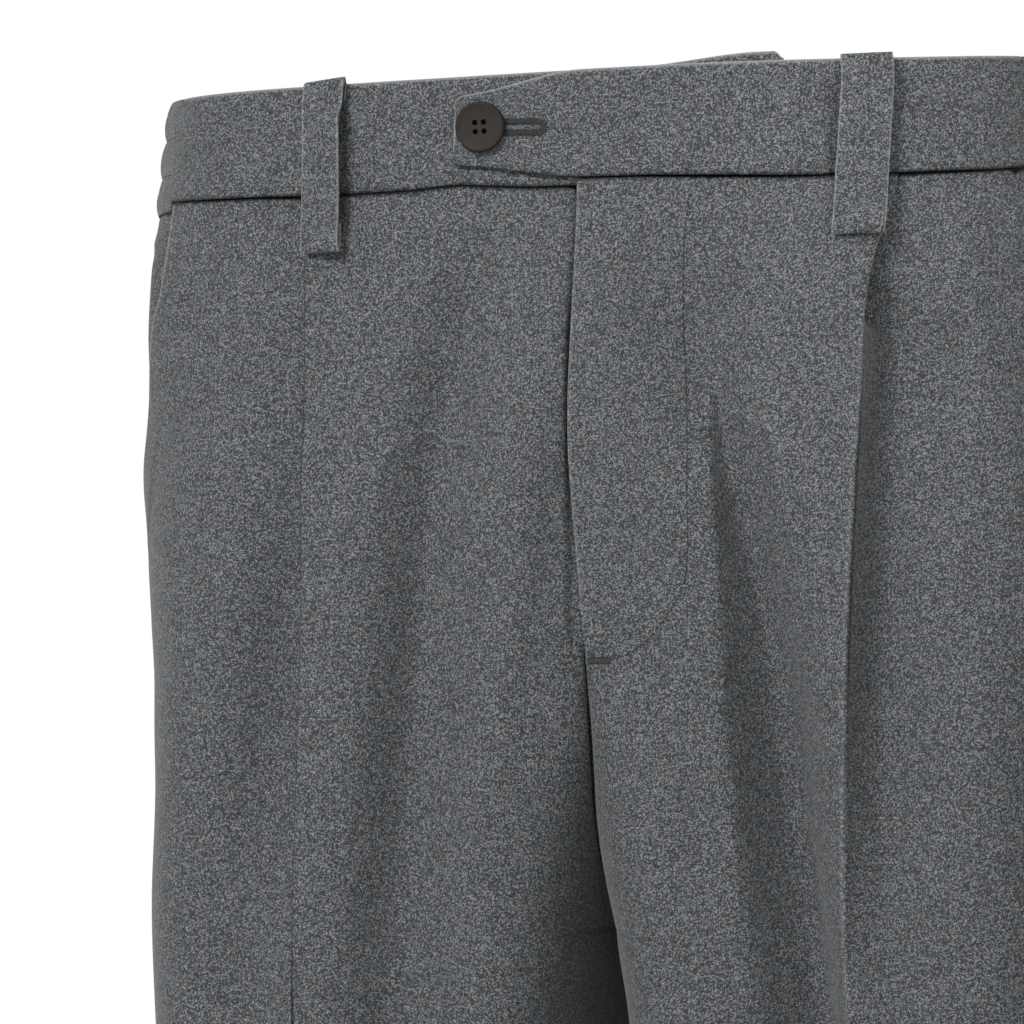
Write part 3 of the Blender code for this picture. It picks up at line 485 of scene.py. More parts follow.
# A pleat's edge at x rises this far over the cloth before it, drops this far behind it, and is tucked
# under by this much. Below zero, tuck is how wide the open pleat's bank is.
Pleat = namedtuple("Pleat", "z x rise drop tuck")
PLEATS = {
    1: (
        Pleat(-0.030, 0.1073, 0.0015, 0.0015, 0.022),
        Pleat(-0.045, 0.1046, 0.0018, 0.0019, 0.021),
        Pleat(-0.058, 0.1014, 0.0024, 0.0030, 0.020),
        Pleat(-0.070, 0.0985, 0.0038, 0.0062, 0.017),
        Pleat(-0.084, 0.0967, 0.0048, 0.0096, 0.007),
        Pleat(-0.097, 0.0962, 0.0050, 0.0112, -0.006),
        Pleat(-0.112, 0.0958, 0.0050, 0.0122, -0.012),
        Pleat(-0.135, 0.0950, 0.0048, 0.0124, -0.014),
        Pleat(-0.165, 0.0940, 0.0046, 0.0120, -0.015),
        Pleat(-0.215, 0.0928, 0.0044, 0.0114, -0.015),
        Pleat(FORK, 0.0916, 0.0040, 0.0094, -0.016),
        Pleat(-0.330, 0.0932, 0.0038, 0.0060, -0.018),
        Pleat(-0.450, 0.0875, 0.0042, 0.0010, -0.018),
        Pleat(-0.615, 0.0848, 0.0045, 0.0000, -0.016),
        Pleat(HEM, 0.0895, 0.0045, 0.0000, -0.016),
    ),
    -1: (
        Pleat(-0.030, 0.0920, 0.0015, 0.0015, 0.020),
        Pleat(-0.055, 0.0917, 0.0018, 0.0020, 0.019),
        Pleat(-0.080, 0.0909, 0.0022, 0.0030, 0.017),
        Pleat(-0.110, 0.0903, 0.0024, 0.0040, 0.014),
        Pleat(-0.140, 0.0904, 0.0026, 0.0062, 0.012),
        Pleat(-0.170, 0.0896, 0.0028, 0.0086, 0.011),
        Pleat(-0.215, 0.0904, 0.0030, 0.0096, 0.010),
        Pleat(FORK, 0.0930, 0.0034, 0.0060, 0.007),
        Pleat(-0.330, 0.0930, 0.0036, 0.0040, 0.000),
        Pleat(-0.450, 0.0860, 0.0042, 0.0000, -0.014),
        Pleat(-0.615, 0.0788, 0.0045, 0.0000, -0.016),
        Pleat(HEM, 0.0835, 0.0045, 0.0000, -0.016),
    ),
}
RECOVER = {1: 0.028, -1: 0.015}  # how far the cloth beside the pleat takes to come back to the form
VALLEY_FROM = 0.034  # the columns follow the first trough from here outwards
CREST_TURN = 0.0035  # and lie closer together this far to both sides of its near bank

# Soft troughs (a negative lift) and ridges, each a line down the cloth with its widths to both sides.
# crest is how sharply a trough's near bank turns over: 0 softly, 1 in an edge.
Fold = namedtuple("Fold", "z x lift near far crest", defaults=(0,))
FRONT_FOLDS = {
    1: (
        (
            Fold(-0.100, 0.0490, 0.0000, 0.0030, 0.010, 0.9),
            Fold(-0.113, 0.0502, -0.0036, 0.0034, 0.010, 0.9),
            Fold(-0.126, 0.0522, -0.0074, 0.0048, 0.012, 0.9),
            Fold(-0.146, 0.0572, -0.0130, 0.0086, 0.014, 0.9),
            Fold(-0.167, 0.0612, -0.0172, 0.0112, 0.015, 0.9),
            Fold(-0.186, 0.0636, -0.0200, 0.0126, 0.016, 0.8),
            Fold(-0.214, 0.0668, -0.0232, 0.0144, 0.017, 0.8),
            Fold(-0.248, 0.0710, -0.0252, 0.0156, 0.017, 0.8),
            Fold(-0.282, 0.0760, -0.0256, 0.0172, 0.015, 0.7),
            Fold(-0.316, 0.0805, -0.0230, 0.0184, 0.014, 0.6),
            Fold(-0.390, 0.0790, -0.0120, 0.0180, 0.016, 0.0),
            Fold(-0.500, 0.0700, 0.0000, 0.0180, 0.014, 0.0),
        ),
        (
            Fold(-0.054, 0.0330, 0.0000, 0.015, 0.010),
            Fold(-0.074, 0.0390, -0.0045, 0.017, 0.010),
            Fold(-0.096, 0.0440, -0.0080, 0.018, 0.010),
            Fold(-0.114, 0.0470, -0.0060, 0.014, 0.010),
            Fold(-0.138, 0.0510, 0.0000, 0.008, 0.010),
        ),
        (
            Fold(-0.074, 0.1035, 0.0000, 0.008, 0.012),
            Fold(-0.095, 0.1121, -0.0026, 0.008, 0.014),
            Fold(-0.126, 0.1274, -0.0050, 0.010, 0.016),
            Fold(-0.175, 0.1409, -0.0036, 0.012, 0.016),
            Fold(-0.220, 0.1457, 0.0000, 0.014, 0.016),
        ),
        (
            Fold(-0.075, 0.1440, 0.0000, 0.028, 0.016),
            Fold(-0.120, 0.1470, 0.0050, 0.028, 0.018),
            Fold(-0.200, 0.1480, 0.0080, 0.030, 0.020),
            Fold(-0.300, 0.1460, 0.0080, 0.030, 0.020),
            Fold(-0.450, 0.1400, 0.0000, 0.030, 0.020),
        ),
    ),
    -1: (
        (
            Fold(-0.050, 0.0280, 0.0000, 0.014, 0.013),
            Fold(-0.075, 0.0340, -0.0050, 0.013, 0.012),
            Fold(-0.109, 0.0430, -0.0095, 0.013, 0.012),
            Fold(-0.152, 0.0490, -0.0115, 0.013, 0.012),
            Fold(-0.200, 0.0520, -0.0120, 0.014, 0.013),
            Fold(-0.260, 0.0570, -0.0120, 0.017, 0.014),
            Fold(-0.330, 0.0600, -0.0105, 0.020, 0.016),
            Fold(-0.440, 0.0620, 0.0000, 0.020, 0.018),
        ),
        (
            Fold(-0.080, 0.0100, 0.0000, 0.009, 0.012),
            Fold(-0.110, 0.0120, 0.0040, 0.009, 0.012),
            Fold(-0.160, 0.0160, 0.0050, 0.009, 0.012),
            Fold(-0.230, 0.0260, 0.0045, 0.010, 0.012),
            Fold(-0.340, 0.0360, 0.0000, 0.010, 0.014),
        ),
        (
            Fold(-0.150, 0.1030, 0.0000, 0.010, 0.014),
            Fold(-0.200, 0.1070, -0.0050, 0.010, 0.016),
            Fold(-0.245, 0.1140, -0.0090, 0.014, 0.018),
            Fold(-0.300, 0.1200, -0.0105, 0.016, 0.020),
            Fold(-0.360, 0.1200, -0.0070, 0.016, 0.020),
            Fold(-0.450, 0.1200, 0.0000, 0.016, 0.018),
        ),
    ),
}


def band_height(side, turn):
    """How far down the band's lower edge lies on this side, at these turns from the centre front."""
    low = np.interp(np.degrees(turn), *zip(*BAND_LOW[side]))
    return np.where(turn > BAND_JOIN, ELASTIC_HEIGHT, low)


def panel_heights(side, z, angle):
    """The rows' heights: the uppermost rows follow the band's lower edge."""
    top = -band_height(side, angle - math.pi / 2) - SEAM_GAP - EDGE_ROOM
    return z + (top - PANEL_TOP) * (1 - ease(PANEL_TOP - z, 0.0, 0.030))


def mouth(side, z):
    """How far in front of the side seam the pocket mouth lies on this side, at the heights z."""
    heights, widths = zip(*MOUTH)
    return np.interp(z, heights, widths) * (MOUTH_LEFT if side > 0 else 1)


def spread(start, end, count):
    return [mix(start, end, k / count) for k in range(count)]


def front_stations(side, level):
    """Angles and lifts across one front, from the centre or the inseam to its outer edge."""
    start_lift = LAP_STEP * side * ease(level.z, -0.225, -0.195)
    lap = FLY_LAP * ease(level.z, FLY_END, FLY_END + 0.030) * (side < 0)
    clear = SEAM_GAP / 2 + CLOTH / 2 * np.minimum(1.3 * level.split[0], 1.0)
    clear = clear + FLY_BACK * ease(level.z, -0.110, -0.045) * (side > 0)
    start = np.where(level.z < FORK, SEAM_GAP / 2 / level.run(0), level.angle_at(True, clear - lap))
    gape = GAPE * ease(level.z, -0.165, -0.120) + GAPE_MORE * close_to(level.z - GAPE_MOST, GAPE_SPREAD)
    end = math.pi - np.maximum(mouth(side, level.z), SEAM_GAP / 2) / level.run(math.pi - NEAR_SIDE)

    edge_x, rise, drop, tuck = (along(PLEATS[side], level.z, name) for name in Pleat._fields[1:])
    edge = level.angle_at(True, edge_x - side * level.shift)
    per_metre = 1 / level.run(edge)
    tip = LAYER / 2
    pressed = (  # metres from the fold edge, and the lift there
        (-0.010, rise),
        (-tip, rise),
        (0.0, rise - tip),
        (-tip, rise - 2 * tip),
        (tip - tuck, 2 * tip - drop),
        (-tuck, tip - drop),
        (tip - tuck, -drop),
        (0.008, -drop),
    )
    width = np.maximum(-tuck, 0.010)
    opened = (
        (-0.010, 0.58 * rise),
        (-0.0025, 0.88 * rise),
        (0.0, rise),
        (0.17 * width, mix(-drop, rise, 0.72)),
        (0.36 * width, mix(-drop, rise, 0.45)),
        (0.62 * width, mix(-drop, rise, 0.18)),
        (width, -drop),
        (width + 0.010, -0.72 * drop),
    )
    folded = ease(tuck, -0.003, 0.009)
    pleat = [(mix(o[0], p[0], folded), mix(o[1], p[1], folded)) for o, p in zip(opened, pressed)]

    first = edge + pleat[0][0] * per_metre
    last = edge + pleat[-1][0] * per_metre
    valley_x = along(FRONT_FOLDS[side][0], level.z, "x") - side * level.shift
    valley_x = np.maximum(valley_x, VALLEY_FROM)
    valley = np.minimum(level.angle_at(True, valley_x), mix(start, first, 0.6))
    beyond = mix(valley, first, 0.35)
    crest = level.angle_at(True, valley_x - along(FRONT_FOLDS[side][0], level.z, "near"))
    crest = np.clip(crest, mix(start, valley, 0.3), mix(start, valley, 0.85))
    turn = np.minimum(CREST_TURN / level.run(crest), 0.4 * (valley - crest))
    near = (spread(start, crest - turn, 3) + spread(crest - turn, crest + turn, 2)
            + spread(crest + turn, beyond, 3) + spread(beyond, first, 2))
    stations = []
    for angle in near:
        lift = pleat[0][1] * ease((angle - first) / per_metre, -0.036, 0.0)
        stations.append((angle, lift + start_lift * (1 - ease(angle - start, 0.0, 0.30))))
    stations += [(edge + s * per_metre, lift) for s, lift in pleat]
    for angle in spread(last, end, 5)[1:] + [end]:
        lift = pleat[-1][1] * (1 - ease((angle - last) / per_metre, 0.0, RECOVER[side]))
        stations.append((angle, lift + gape * ease(end - angle, 0.22, 0.0)))
    angles = np.stack([angle for angle, lift in stations], axis=-1)
    lifts = np.stack([np.broadcast_to(lift, angles[:, 0].shape) for angle, lift in stations], axis=-1)
    return angles, lifts, per_metre


def smooth_through(points, places):
    """Points on a smooth curve through coarse ones, at these places counted in coarse steps."""
    before, after = 2 * points[:, :1] - points[:, 1:2], 2 * points[:, -1:] - points[:, -2:-1]
    held = np.concatenate((before, points, after), axis=1)
    steps = np.sqrt(np.maximum(np.linalg.norm(np.diff(held, axis=1), axis=-1), 1e-9))
    knots = np.concatenate((np.zeros((len(held), 1)), np.cumsum(steps, axis=1)), axis=1)
    found = []
    for place in places:
        k = min(int(place), points.shape[1] - 2)
        p0, p1, p2, p3 = (held[:, k + j] for j in range(4))
        t0, t1, t2, t3 = (knots[:, k + j, None] for j in range(4))
        t = mix(t1, t2, place - k)
        a1 = mix(p0, p1, (t - t0) / (t1 - t0))
        a2 = mix(p1, p2, (t - t1) / (t2 - t1))
        a3 = mix(p2, p3, (t - t2) / (t3 - t2))
        b1 = mix(a1, a2, (t - t0) / (t2 - t0))
        b2 = mix(a2, a3, (t - t1) / (t3 - t1))
        found.append(mix(b1, b2, (t - t1) / (t2 - t1)))
    return np.stack(found, axis=1)


def leg_rows(count_upper, count_lower):
    """Heights down a leg, close together where the pleats are, then the hem turned up inside it."""
    over, tucked = np.array(ALLOWANCE).T
    seam = PANEL_TOP + np.concatenate((over, (-0.0009, -0.0013)))
    upper = np.linspace(PANEL_TOP - 0.002, FINE_DOWN_TO, count_upper - len(seam), endpoint=False)
    upper = np.concatenate((seam, upper))
    bottom = HEM + HEM_TURN + CLOTH / 2
    lower = np.linspace(FINE_DOWN_TO, bottom, count_lower, endpoint=False)
    bend = np.linspace(0, math.pi, 7)
    inside = np.linspace(bottom, bottom + HEM_DEPTH, 6)[1:]
    z = np.concatenate((upper, lower, bottom - HEM_TURN * np.sin(bend), inside))
    turned = np.concatenate((
        tucked,
        np.zeros(count_upper + count_lower - len(tucked)),
        HEM_TURN * (np.cos(bend) - 1),
        np.full(len(inside), -2 * HEM_TURN),
    ))
    return z, turned


def seam_roll(distance):
    """The lift beside a sewn edge, which rolls into its seam."""
    return -SEAM_ROLL * close_to(distance, SEAM_ROLL_WIDTH)


def cloth_lengths(places, column):
    """Metres of cloth across from one column and down from the top, for each point."""
    steps_across = np.linalg.norm(np.diff(places, axis=1), axis=-1)
    across = np.concatenate((np.zeros((len(places), 1)), np.cumsum(steps_across, axis=1)), axis=1)
    steps_down = np.linalg.norm(np.diff(places[:, column], axis=0), axis=-1)
    down = np.concatenate(([0], np.cumsum(steps_down)))
    return across - across[:, column:column + 1], np.broadcast_to(down[:, None], across.shape)


def add_cloth(node_name, places, wall, material, column=0, pressed=None, weave=None):
    """A piece of cloth in place of its solid: a grid of points as its middle surface, and a wall with soft
    edges round it. Its flat size is the cloth's own lengths, and its yarns run straight at one column."""
    down, across = places.shape[0] - 1, places.shape[1] - 1
    grid = bmesh.new()
    bmesh.ops.create_grid(grid, x_segments=across, y_segments=down, size=1)
    piece = add_mesh(f"{node_name}_cloth", grid, material)
    mesh = piece.data
    mesh.vertices.foreach_set("co", places.reshape(-1, 3).astype(np.float32).ravel())
    u, v, behind = weave or (*cloth_lengths(places, column), 0)
    corners = np.zeros(len(mesh.loops), np.int32)
    mesh.loops.foreach_get("vertex_index", corners)
    flat = np.stack((u, -v), axis=-1).reshape(-1, 2)[corners]
    if weave:
        face_column = (corners.reshape(-1, 4) % (across + 1)).min(axis=1).repeat(4)
        flat[:, 0] = np.where(face_column < BEHIND_COLUMN, flat[:, 0], behind.ravel()[corners])
    mesh.uv_layers.new(name="weave").data.foreach_set("uv", flat.astype(np.float32).ravel())
    # the attribute pressed holds the painted highlights and painted shade
    if pressed is not None:
        amount = mesh.attributes.new("pressed", "FLOAT", "POINT")
        amount.data.foreach_set("value", np.broadcast_to(pressed, u.shape).astype(np.float32).ravel())
    mesh.update()
    thickness = piece.modifiers.new("wall", "SOLIDIFY")
    thickness.thickness = wall
    thickness.offset = 0.0
    thickness.use_even_offset = True
    soft = piece.modifiers.new("soft edges", "BEVEL")
    soft.width = 0.34 * wall
    soft.segments = 2
    soft.limit_method = "ANGLE"
    soft.angle_limit = math.radians(60)
    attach(piece, "root")
    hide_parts(node_name)


FRONT_ROWS = 154, 96  # above and below FINE_DOWN_TO
FINE_FROM, FINE_TO = 0.48, 4 / 3  # between these the front's columns are close together, for the fly


def front_leg(side):
    z, turned = leg_rows(*FRONT_ROWS)
    angles, lifts, per_metre = front_stations(side, Level(z))
    coarse = np.stack((angles / per_metre[:, None], lifts), axis=-1)
    stations = angles.shape[1]
    places = np.concatenate((
        (0, 0.04, 0.10, 0.20, 0.35),
        np.arange(FINE_FROM, FINE_TO, 0.06),
        np.arange(FINE_TO, stations - 2, 1 / 6),
        stations - 2 + np.array((0, 0.40, 0.65, 0.80, 0.90, 0.96, 1.0)),
    ))
    fine = smooth_through(coarse, places)
    angle = fine[..., 0] * per_metre[:, None]
    from_start = fine[..., 0] - fine[:, :1, 0]
    from_end = fine[:, -1:, 0] - fine[..., 0]
    closed = (z < MOUTH_END)[:, None]
    lift = fine[..., 1] + turned[:, None]
    lift = lift + np.where(closed, seam_roll(from_start) + seam_roll(from_end), 0)

    def folds(level, x):
        return fold_lift(FRONT_FOLDS[side], level.z, x)

    return skin(side, panel_heights(side, z[:, None], angle), angle, lift, folds)


CREASE_COLUMN = 84  # the column of the grid that runs down the pleat's fold edge
BEHIND_COLUMN = 108  # from here on, the faces lie behind the pleat
# widths and places of the painted lines: highlights and shade along creases, highlights along the mouths,
# painted shade along seams and beside the crease
CREASE_LINE = 0.0006
BESIDE_CREASE = 0.0013
MOUTH_LINE = 0.0008
SEAM_LINE = 0.0008
UNDER_FLY = (  # the shade beside the fly's edge, on the front below it: height, strength, and its place
    (-0.200, 0.0, -0.0002), (-0.185, 0.5, -0.0002), (-0.150, 0.7, -0.0003), (-0.125, 1.0, -0.0006),
    (-0.085, 1.0, -0.0006), (-0.070, 0.6, 0.0000), (-0.045, 0.5, 0.0008), (-0.036, 0.9, 0.0010),
)
UNDER_FLY_LINE = 0.0014
GRAIN_FROM = 0.030  # metres beyond the fold edge, where the grain runs straight down


def front_weave(side, places):
    """The cloth's own coordinates: in front of the pleat the grain runs down the fold edge. Behind it the
    grain runs straight down too, and a second set of distances takes over there."""
    u, v = cloth_lengths(places, CREASE_COLUMN)
    far = BEHIND_COLUMN - 6
    behind = np.array([
        np.interp(out[CREASE_COLUMN] + GRAIN_FROM, out[far:], across[far:])
        for out, across in zip(side * places[..., 0], u)
    ])
    return u, v, u - behind[:, None] + behind.min()


def front_painted_light_and_shade(side, places):
    """Painted highlights along the pocket mouth and, on the wearer's left, along the crease and the fly's
    edge, which lies on top; painted shade along the top seam, on the wearer's right along the crease and
    under the fly's edge, and on the wearer's left beside the crease.
    """
    z = leg_rows(*FRONT_ROWS)[0]
    across = cloth_lengths(places, CREASE_COLUMN)[0]
    # the crease line, painted as a highlight on the wearer's left and as shade on the wearer's right
    crease = close_to(across, CREASE_LINE) * (1 - ease(z, -0.30, -0.50))[:, None]
    from_end = across[:, -1:] - across
    open_mouth = ease(z, MOUTH_END - 0.02, MOUTH_END + 0.04)[:, None]
    # a painted highlight along the pocket mouth, and painted shade along the seam under the band
    edges = 0.7 * close_to(from_end, MOUTH_LINE) * open_mouth
    edges = edges - close_to(np.minimum(z - PANEL_TOP, 0), SEAM_LINE)[:, None]
    # on the wearer's right, painted shade on the crease and under the fly's edge
    if side < 0:
        heights, shades, lefts = zip(*UNDER_FLY)
        from_fly = places[..., 0] - np.interp(z, heights, lefts)[:, None]
        return edges - crease - np.interp(z, heights, shades)[:, None] * close_to(from_fly, UNDER_FLY_LINE)
    # on the wearer's left, a painted highlight along the fly's edge and on the crease, and painted shade
    # beside the crease
    from_start = across - across[:, :1]
    fly = close_to(from_start, CREASE_LINE) * (z > FLY_END)[:, None]
    open_pleat = (ease(z, -0.10, -0.13) * ease(z, -0.24, -0.19))[:, None]
    shade = close_to(across - BESIDE_CREASE, CREASE_LINE) * open_pleat
    return edges - 0.7 * shade + 0.2 * crease + 0.3 * fly


SIDES = {"left": 1, "right": -1}
for word, side in SIDES.items():
    front_places = front_leg(side)
    add_cloth(f"front_{word}", front_places, CLOTH, leg_cloth, pressed=front_painted_light_and_shade(side, front_places),
              weave=front_weave(side, front_places))


# The back legs: plain, with the pressed crease from below the seat, and the fullness that the elastic
# gathers in at their top. They are sewn to the fronts at the side seams and the inseams.
BACK_ROWS = 116, 84
BACK_COLUMN = 62  # where the grain runs straight down
BACK_GATHERS = 10
BACK_CREASE = 0.0040
BACK_CREASE_FROM = (-0.20, -0.42)
BACK_FOLDS = {
    1: (
        (
            Fold(-0.215, 0.0550, 0.0000, 0.014, 0.016),
            Fold(-0.290, 0.0480, -0.0040, 0.014, 0.018),
            Fold(-0.400, 0.0520, -0.0030, 0.014, 0.018),
            Fold(-0.520, 0.0600, 0.0000, 0.014, 0.018),
        ),
        (
            Fold(-0.120, 0.1050, 0.0000, 0.014, 0.016),
            Fold(-0.200, 0.1150, -0.0026, 0.014, 0.016),
            Fold(-0.330, 0.1200, 0.0000, 0.014, 0.016),
        ),
    ),
    -1: (
        (
            Fold(-0.200, 0.0500, 0.0000, 0.014, 0.016),
            Fold(-0.310, 0.0520, -0.0036, 0.016, 0.018),
            Fold(-0.440, 0.0560, -0.0024, 0.014, 0.018),
            Fold(-0.560, 0.0600, 0.0000, 0.014, 0.018),
        ),
        (
            Fold(-0.150, 0.1100, 0.0000, 0.014, 0.016),
            Fold(-0.240, 0.1180, -0.0024, 0.014, 0.016),
            Fold(-0.380, 0.1180, 0.0000, 0.014, 0.016),
        ),
    ),
}


def back_leg(side):
    z, turned = leg_rows(*BACK_ROWS)
    level = Level(z)
    start = math.pi + SEAM_GAP / 2 / level.run(math.pi + NEAR_SIDE)
    clear = SEAM_GAP / 2 + CLOTH / 2 * np.minimum(1.3 * level.split[1], 1.0)
    end = 2 * math.pi - np.where(z < FORK, SEAM_GAP / 2 / level.run(0), level.angle_at(False, clear))
    inner = np.linspace(0, 1, 121)[1:-1]
    part = np.concatenate(((0, 0.0018, 0.004), inner, (0.996, 0.9982, 1)))
    angle = mix(start[:, None], end[:, None], part)
    width = (end - start)[:, None] * level.run(1.5 * math.pi)[:, None]
    edges = seam_roll(part * width) + seam_roll((1 - part) * width)
    fullness = (0.0016 * ease(z, -0.115, -0.040) + 0.0001)[:, None]
    uneven = 1 + 0.35 * np.sin(9.1 * part + 1.0) + 0.25 * np.sin(23.0 * part)
    waves = np.cos(2 * math.pi * BACK_GATHERS * part) * ease(part * (1 - part), 0, 0.04)
    gathers = -fullness * uneven * waves

    def folds(level, x):
        crease = BACK_CREASE * ease(level.z, *BACK_CREASE_FROM)
        crease = crease * np.exp(-np.abs(x - side * level.shift - level.centre(False)) / 0.014)
        return fold_lift(BACK_FOLDS[side], level.z, x) + crease

    lift = gathers + edges + turned[:, None]
    return skin(side, panel_heights(side, z[:, None], angle), angle, lift, folds)


for word, side in SIDES.items():
    add_cloth(f"back_{word}", back_leg(side), CLOTH, leg_cloth, column=BACK_COLUMN)


# The pocket facings: a strip of the same cloth behind each slanted mouth, flush at the side seam.
FACING_UNDER = 0.020
FACING_END = -0.189
FACING_BELOW = 0.0021  # how far below the form the facing lies, at the mouth
FACING_HOLLOW = 0.0036  # how far it sags more, where the mouth gapes
FACING_RIDGE = 0.0024  # and how far it stands out between there and the side seam


def pocket_facing(side):
    over, tucked = np.array(ALLOWANCE).T
    z = np.concatenate((PANEL_TOP + over, np.linspace(PANEL_TOP - 0.001, FACING_END, 76)))
    turned = np.concatenate((tucked, np.zeros(76)))
    level = Level(z)
    per_metre = 1 / level.run(math.pi - NEAR_SIDE)
    end = math.pi - SEAM_GAP / 2 * per_metre
    edge = math.pi - mouth(side, z) * per_metre
    under = edge - FACING_UNDER * per_metre
    part = np.linspace(0, 1, 37)
    angle = mix(under[:, None], end[:, None], part)
    high = ease(z, -0.056, -0.040)
    rise_from, rise_to = mix(edge, end, mix(0.35, 0.02, high)), mix(edge, end, mix(1, 0.30, high))
    sunk = -FACING_BELOW * (1 - ease(angle, rise_from[:, None], rise_to[:, None]))
    share = (angle - edge[:, None]) / (end - edge)[:, None]
    open_here = ((1 - ease(z, -0.075, -0.130)) * (1 - high))[:, None]
    sunk = sunk - FACING_HOLLOW * close_to(share - 0.14, 0.11) * open_here
    sunk = sunk + FACING_RIDGE * close_to(share - 0.40, 0.12) * open_here
    lift = sunk + seam_roll((end[:, None] - angle) / per_metre[:, None]) + turned[:, None]
    return skin(side, panel_heights(side, z[:, None], angle), angle, lift)


for word, side in SIDES.items():
    add_cloth(f"pocket_facing_{word}", pocket_facing(side), CLOTH, leg_cloth)


# The front bands: cloth over interfacing, folded along the top. The wearer's left one ends in a tapered
# tab that buttons over the other, whose underlap runs on behind it.
BAND = 0.0020
BAND_COLUMN = 90  # of the grid, where the grain runs straight down
TAB_LENGTH = 0.0400
TAB_CORNER = 0.0030
UNDERLAP = 0.0690
LOOP_SHADE = 0.35  # the painted shade beside the left belt loop, and its place
LOOP_SHADE_X, LOOP_SHADE_WIDTH = 0.0852, 0.0016
band_cloth = worsted("charcoal melange worsted, interfaced", 3.0)


def turn_at(x):
    return math.asin(x / FORM[0].outer)


def band_skin(turn, z, lift):
    """Places on the band, at turns from the centre front towards the wearer's left."""
    angle = math.pi / 2 + np.abs(turn)
    return np.where((turn >= 0)[..., None], skin(1, z, angle, lift), skin(-1, z, angle, lift))


def band_rows(turn, top, bottom, lift):
    """A stretch of band, a little fuller in its middle than at its folded and sewn edges."""
    part = np.concatenate(((0, 0.012, 0.035), np.linspace(0.07, 0.93, 19), (0.965, 0.988, 1)))[:, None]
    z = mix(top, bottom, part)
    edges = 0.0005 * (1 - ease(part, 0, 0.05)) + 0.0005 * ease(part, 0.95, 1)
    return band_skin(np.broadcast_to(turn, z.shape), z, lift - edges)


def front_band_left():
    end, join = turn_at(-TAB_LENGTH), BAND_JOIN - SEAM_GAP / 2 / FORM[0].outer
    corner = TAB_CORNER / FORM[0].outer
    round_the_corner = end + corner * (1 - np.cos(np.linspace(0, math.pi / 2, 9)))
    turn = np.concatenate((round_the_corner, np.linspace(end + corner, join, 170)[1:]))
    taper = 1 - ease(turn, end, turn_at(0.0030))
    into = np.clip((turn - end) / corner, 0, 1)
    rounding = TAB_CORNER * (1 - np.sqrt(1 - (1 - into) ** 2))
    top = -0.0066 * taper - rounding - BAND_SINKS * ease(turn, *BAND_SINKS_OVER)
    bottom = 0.0058 * taper + rounding - band_height(1, turn)
    lift = 0.0013 * (1 - ease(turn, turn_at(0.070), turn_at(0.088)))
    return band_rows(turn, top, bottom, lift)


def front_band_right():
    end = turn_at(UNDERLAP)
    turn = np.linspace(SEAM_GAP / 2 / FORM[0].outer - BAND_JOIN, end, 230)
    raised = 0.0029 * ease(turn, turn_at(0.020), turn_at(0.060))
    top = raised - 0.0026 * ease(turn, turn_at(UNDERLAP - 0.003), end)
    bottom = 0.0040 * ease(turn, 0, turn_at(0.012)) - band_height(-1, -turn)
    lift = -0.0012 * ease(turn, turn_at(-0.062), turn_at(-0.043))
    return band_rows(turn, top, bottom, lift)


for word, band_places in {"left": front_band_left(), "right": front_band_right()}.items():
    across, down = cloth_lengths(band_places, BAND_COLUMN)
    # a painted highlight along the band's folded top, and painted shade along its sewn lower edge
    band_light_and_shade = close_to(down, CREASE_LINE) - close_to(down[-1:] - down, SEAM_LINE)
    if word == "left":
        # on the left band, a painted highlight along the tab's end and painted shade beside the belt loop
        band_light_and_shade = band_light_and_shade + close_to(across - across[:, :1], CREASE_LINE)
        beside_loop = close_to(band_places[..., 0] - LOOP_SHADE_X, LOOP_SHADE_WIDTH)
        band_light_and_shade = band_light_and_shade - LOOP_SHADE * beside_loop * ease(down, 0.002, 0.012)
    add_cloth(f"waistband_{word}", band_places, BAND, band_cloth, column=BAND_COLUMN, pressed=band_light_and_shade)


# The elastic band round the sides and the back: cloth stitched over three rows of elastic, so that it
# puffs between the rows and draws up into small uneven gathers.
CHANNELS = 3
CHANNEL_ROWS = 14  # of the grid, down each channel
GATHERS = 40
PUFF = 0.0022
GATHER = 0.0011


def elastic_band():
    gap = SEAM_GAP / 2 / FORM[0].outer
    turn = np.linspace(BAND_JOIN + gap, 2 * math.pi - BAND_JOIN - gap, 12 * GATHERS + 1)
    place = np.linspace(0, GATHERS, len(turn))
    part = np.linspace(0, 1, CHANNEL_ROWS * CHANNELS + 1)[:, None]
    inward = ease(np.minimum(place, GATHERS - place), 0, 3.8)
    swell = np.abs(np.sin(CHANNELS * math.pi * part)) ** 0.62
    channel = np.minimum((part * CHANNELS).astype(int), CHANNELS - 1)
    wander = 0.35 * np.sin(0.83 * place + 2.1 * channel) + 0.22 * np.sin(2.3 * place - 1.3 * channel)
    ripple = np.cos(2 * math.pi * (place + wander)) * (0.55 + 0.25 * np.sin(1.7 * place + channel))
    puffed = PUFF * swell * (0.92 + 0.10 * np.sin(1.1 * place + channel))
    lift = (puffed + GATHER * ripple * (0.35 + 0.65 * swell)) * inward
    around = np.where(turn <= math.pi, turn, 2 * math.pi - turn)
    sunk = BAND_SINKS * (1 - ease(turn, BAND_JOIN, math.radians(110)))
    z = mix(-sunk, -ELASTIC_HEIGHT, part)
    angle = np.broadcast_to(math.pi / 2 + around, lift.shape)
    left = (turn <= math.pi)[None, :, None]
    return np.where(left, skin(1, z, angle, lift), skin(-1, z, angle, lift))


elastic_places = elastic_band()
add_cloth("waistband_back", elastic_places, BAND, band_cloth)


# The belt loops: a strip folded in three lengthwise. Each is caught in at the band's top, turns over,
# runs down in front of it and is tucked under and tacked below the seam.
STRAP = 0.0013
LOOP_WIDTH = 0.0165
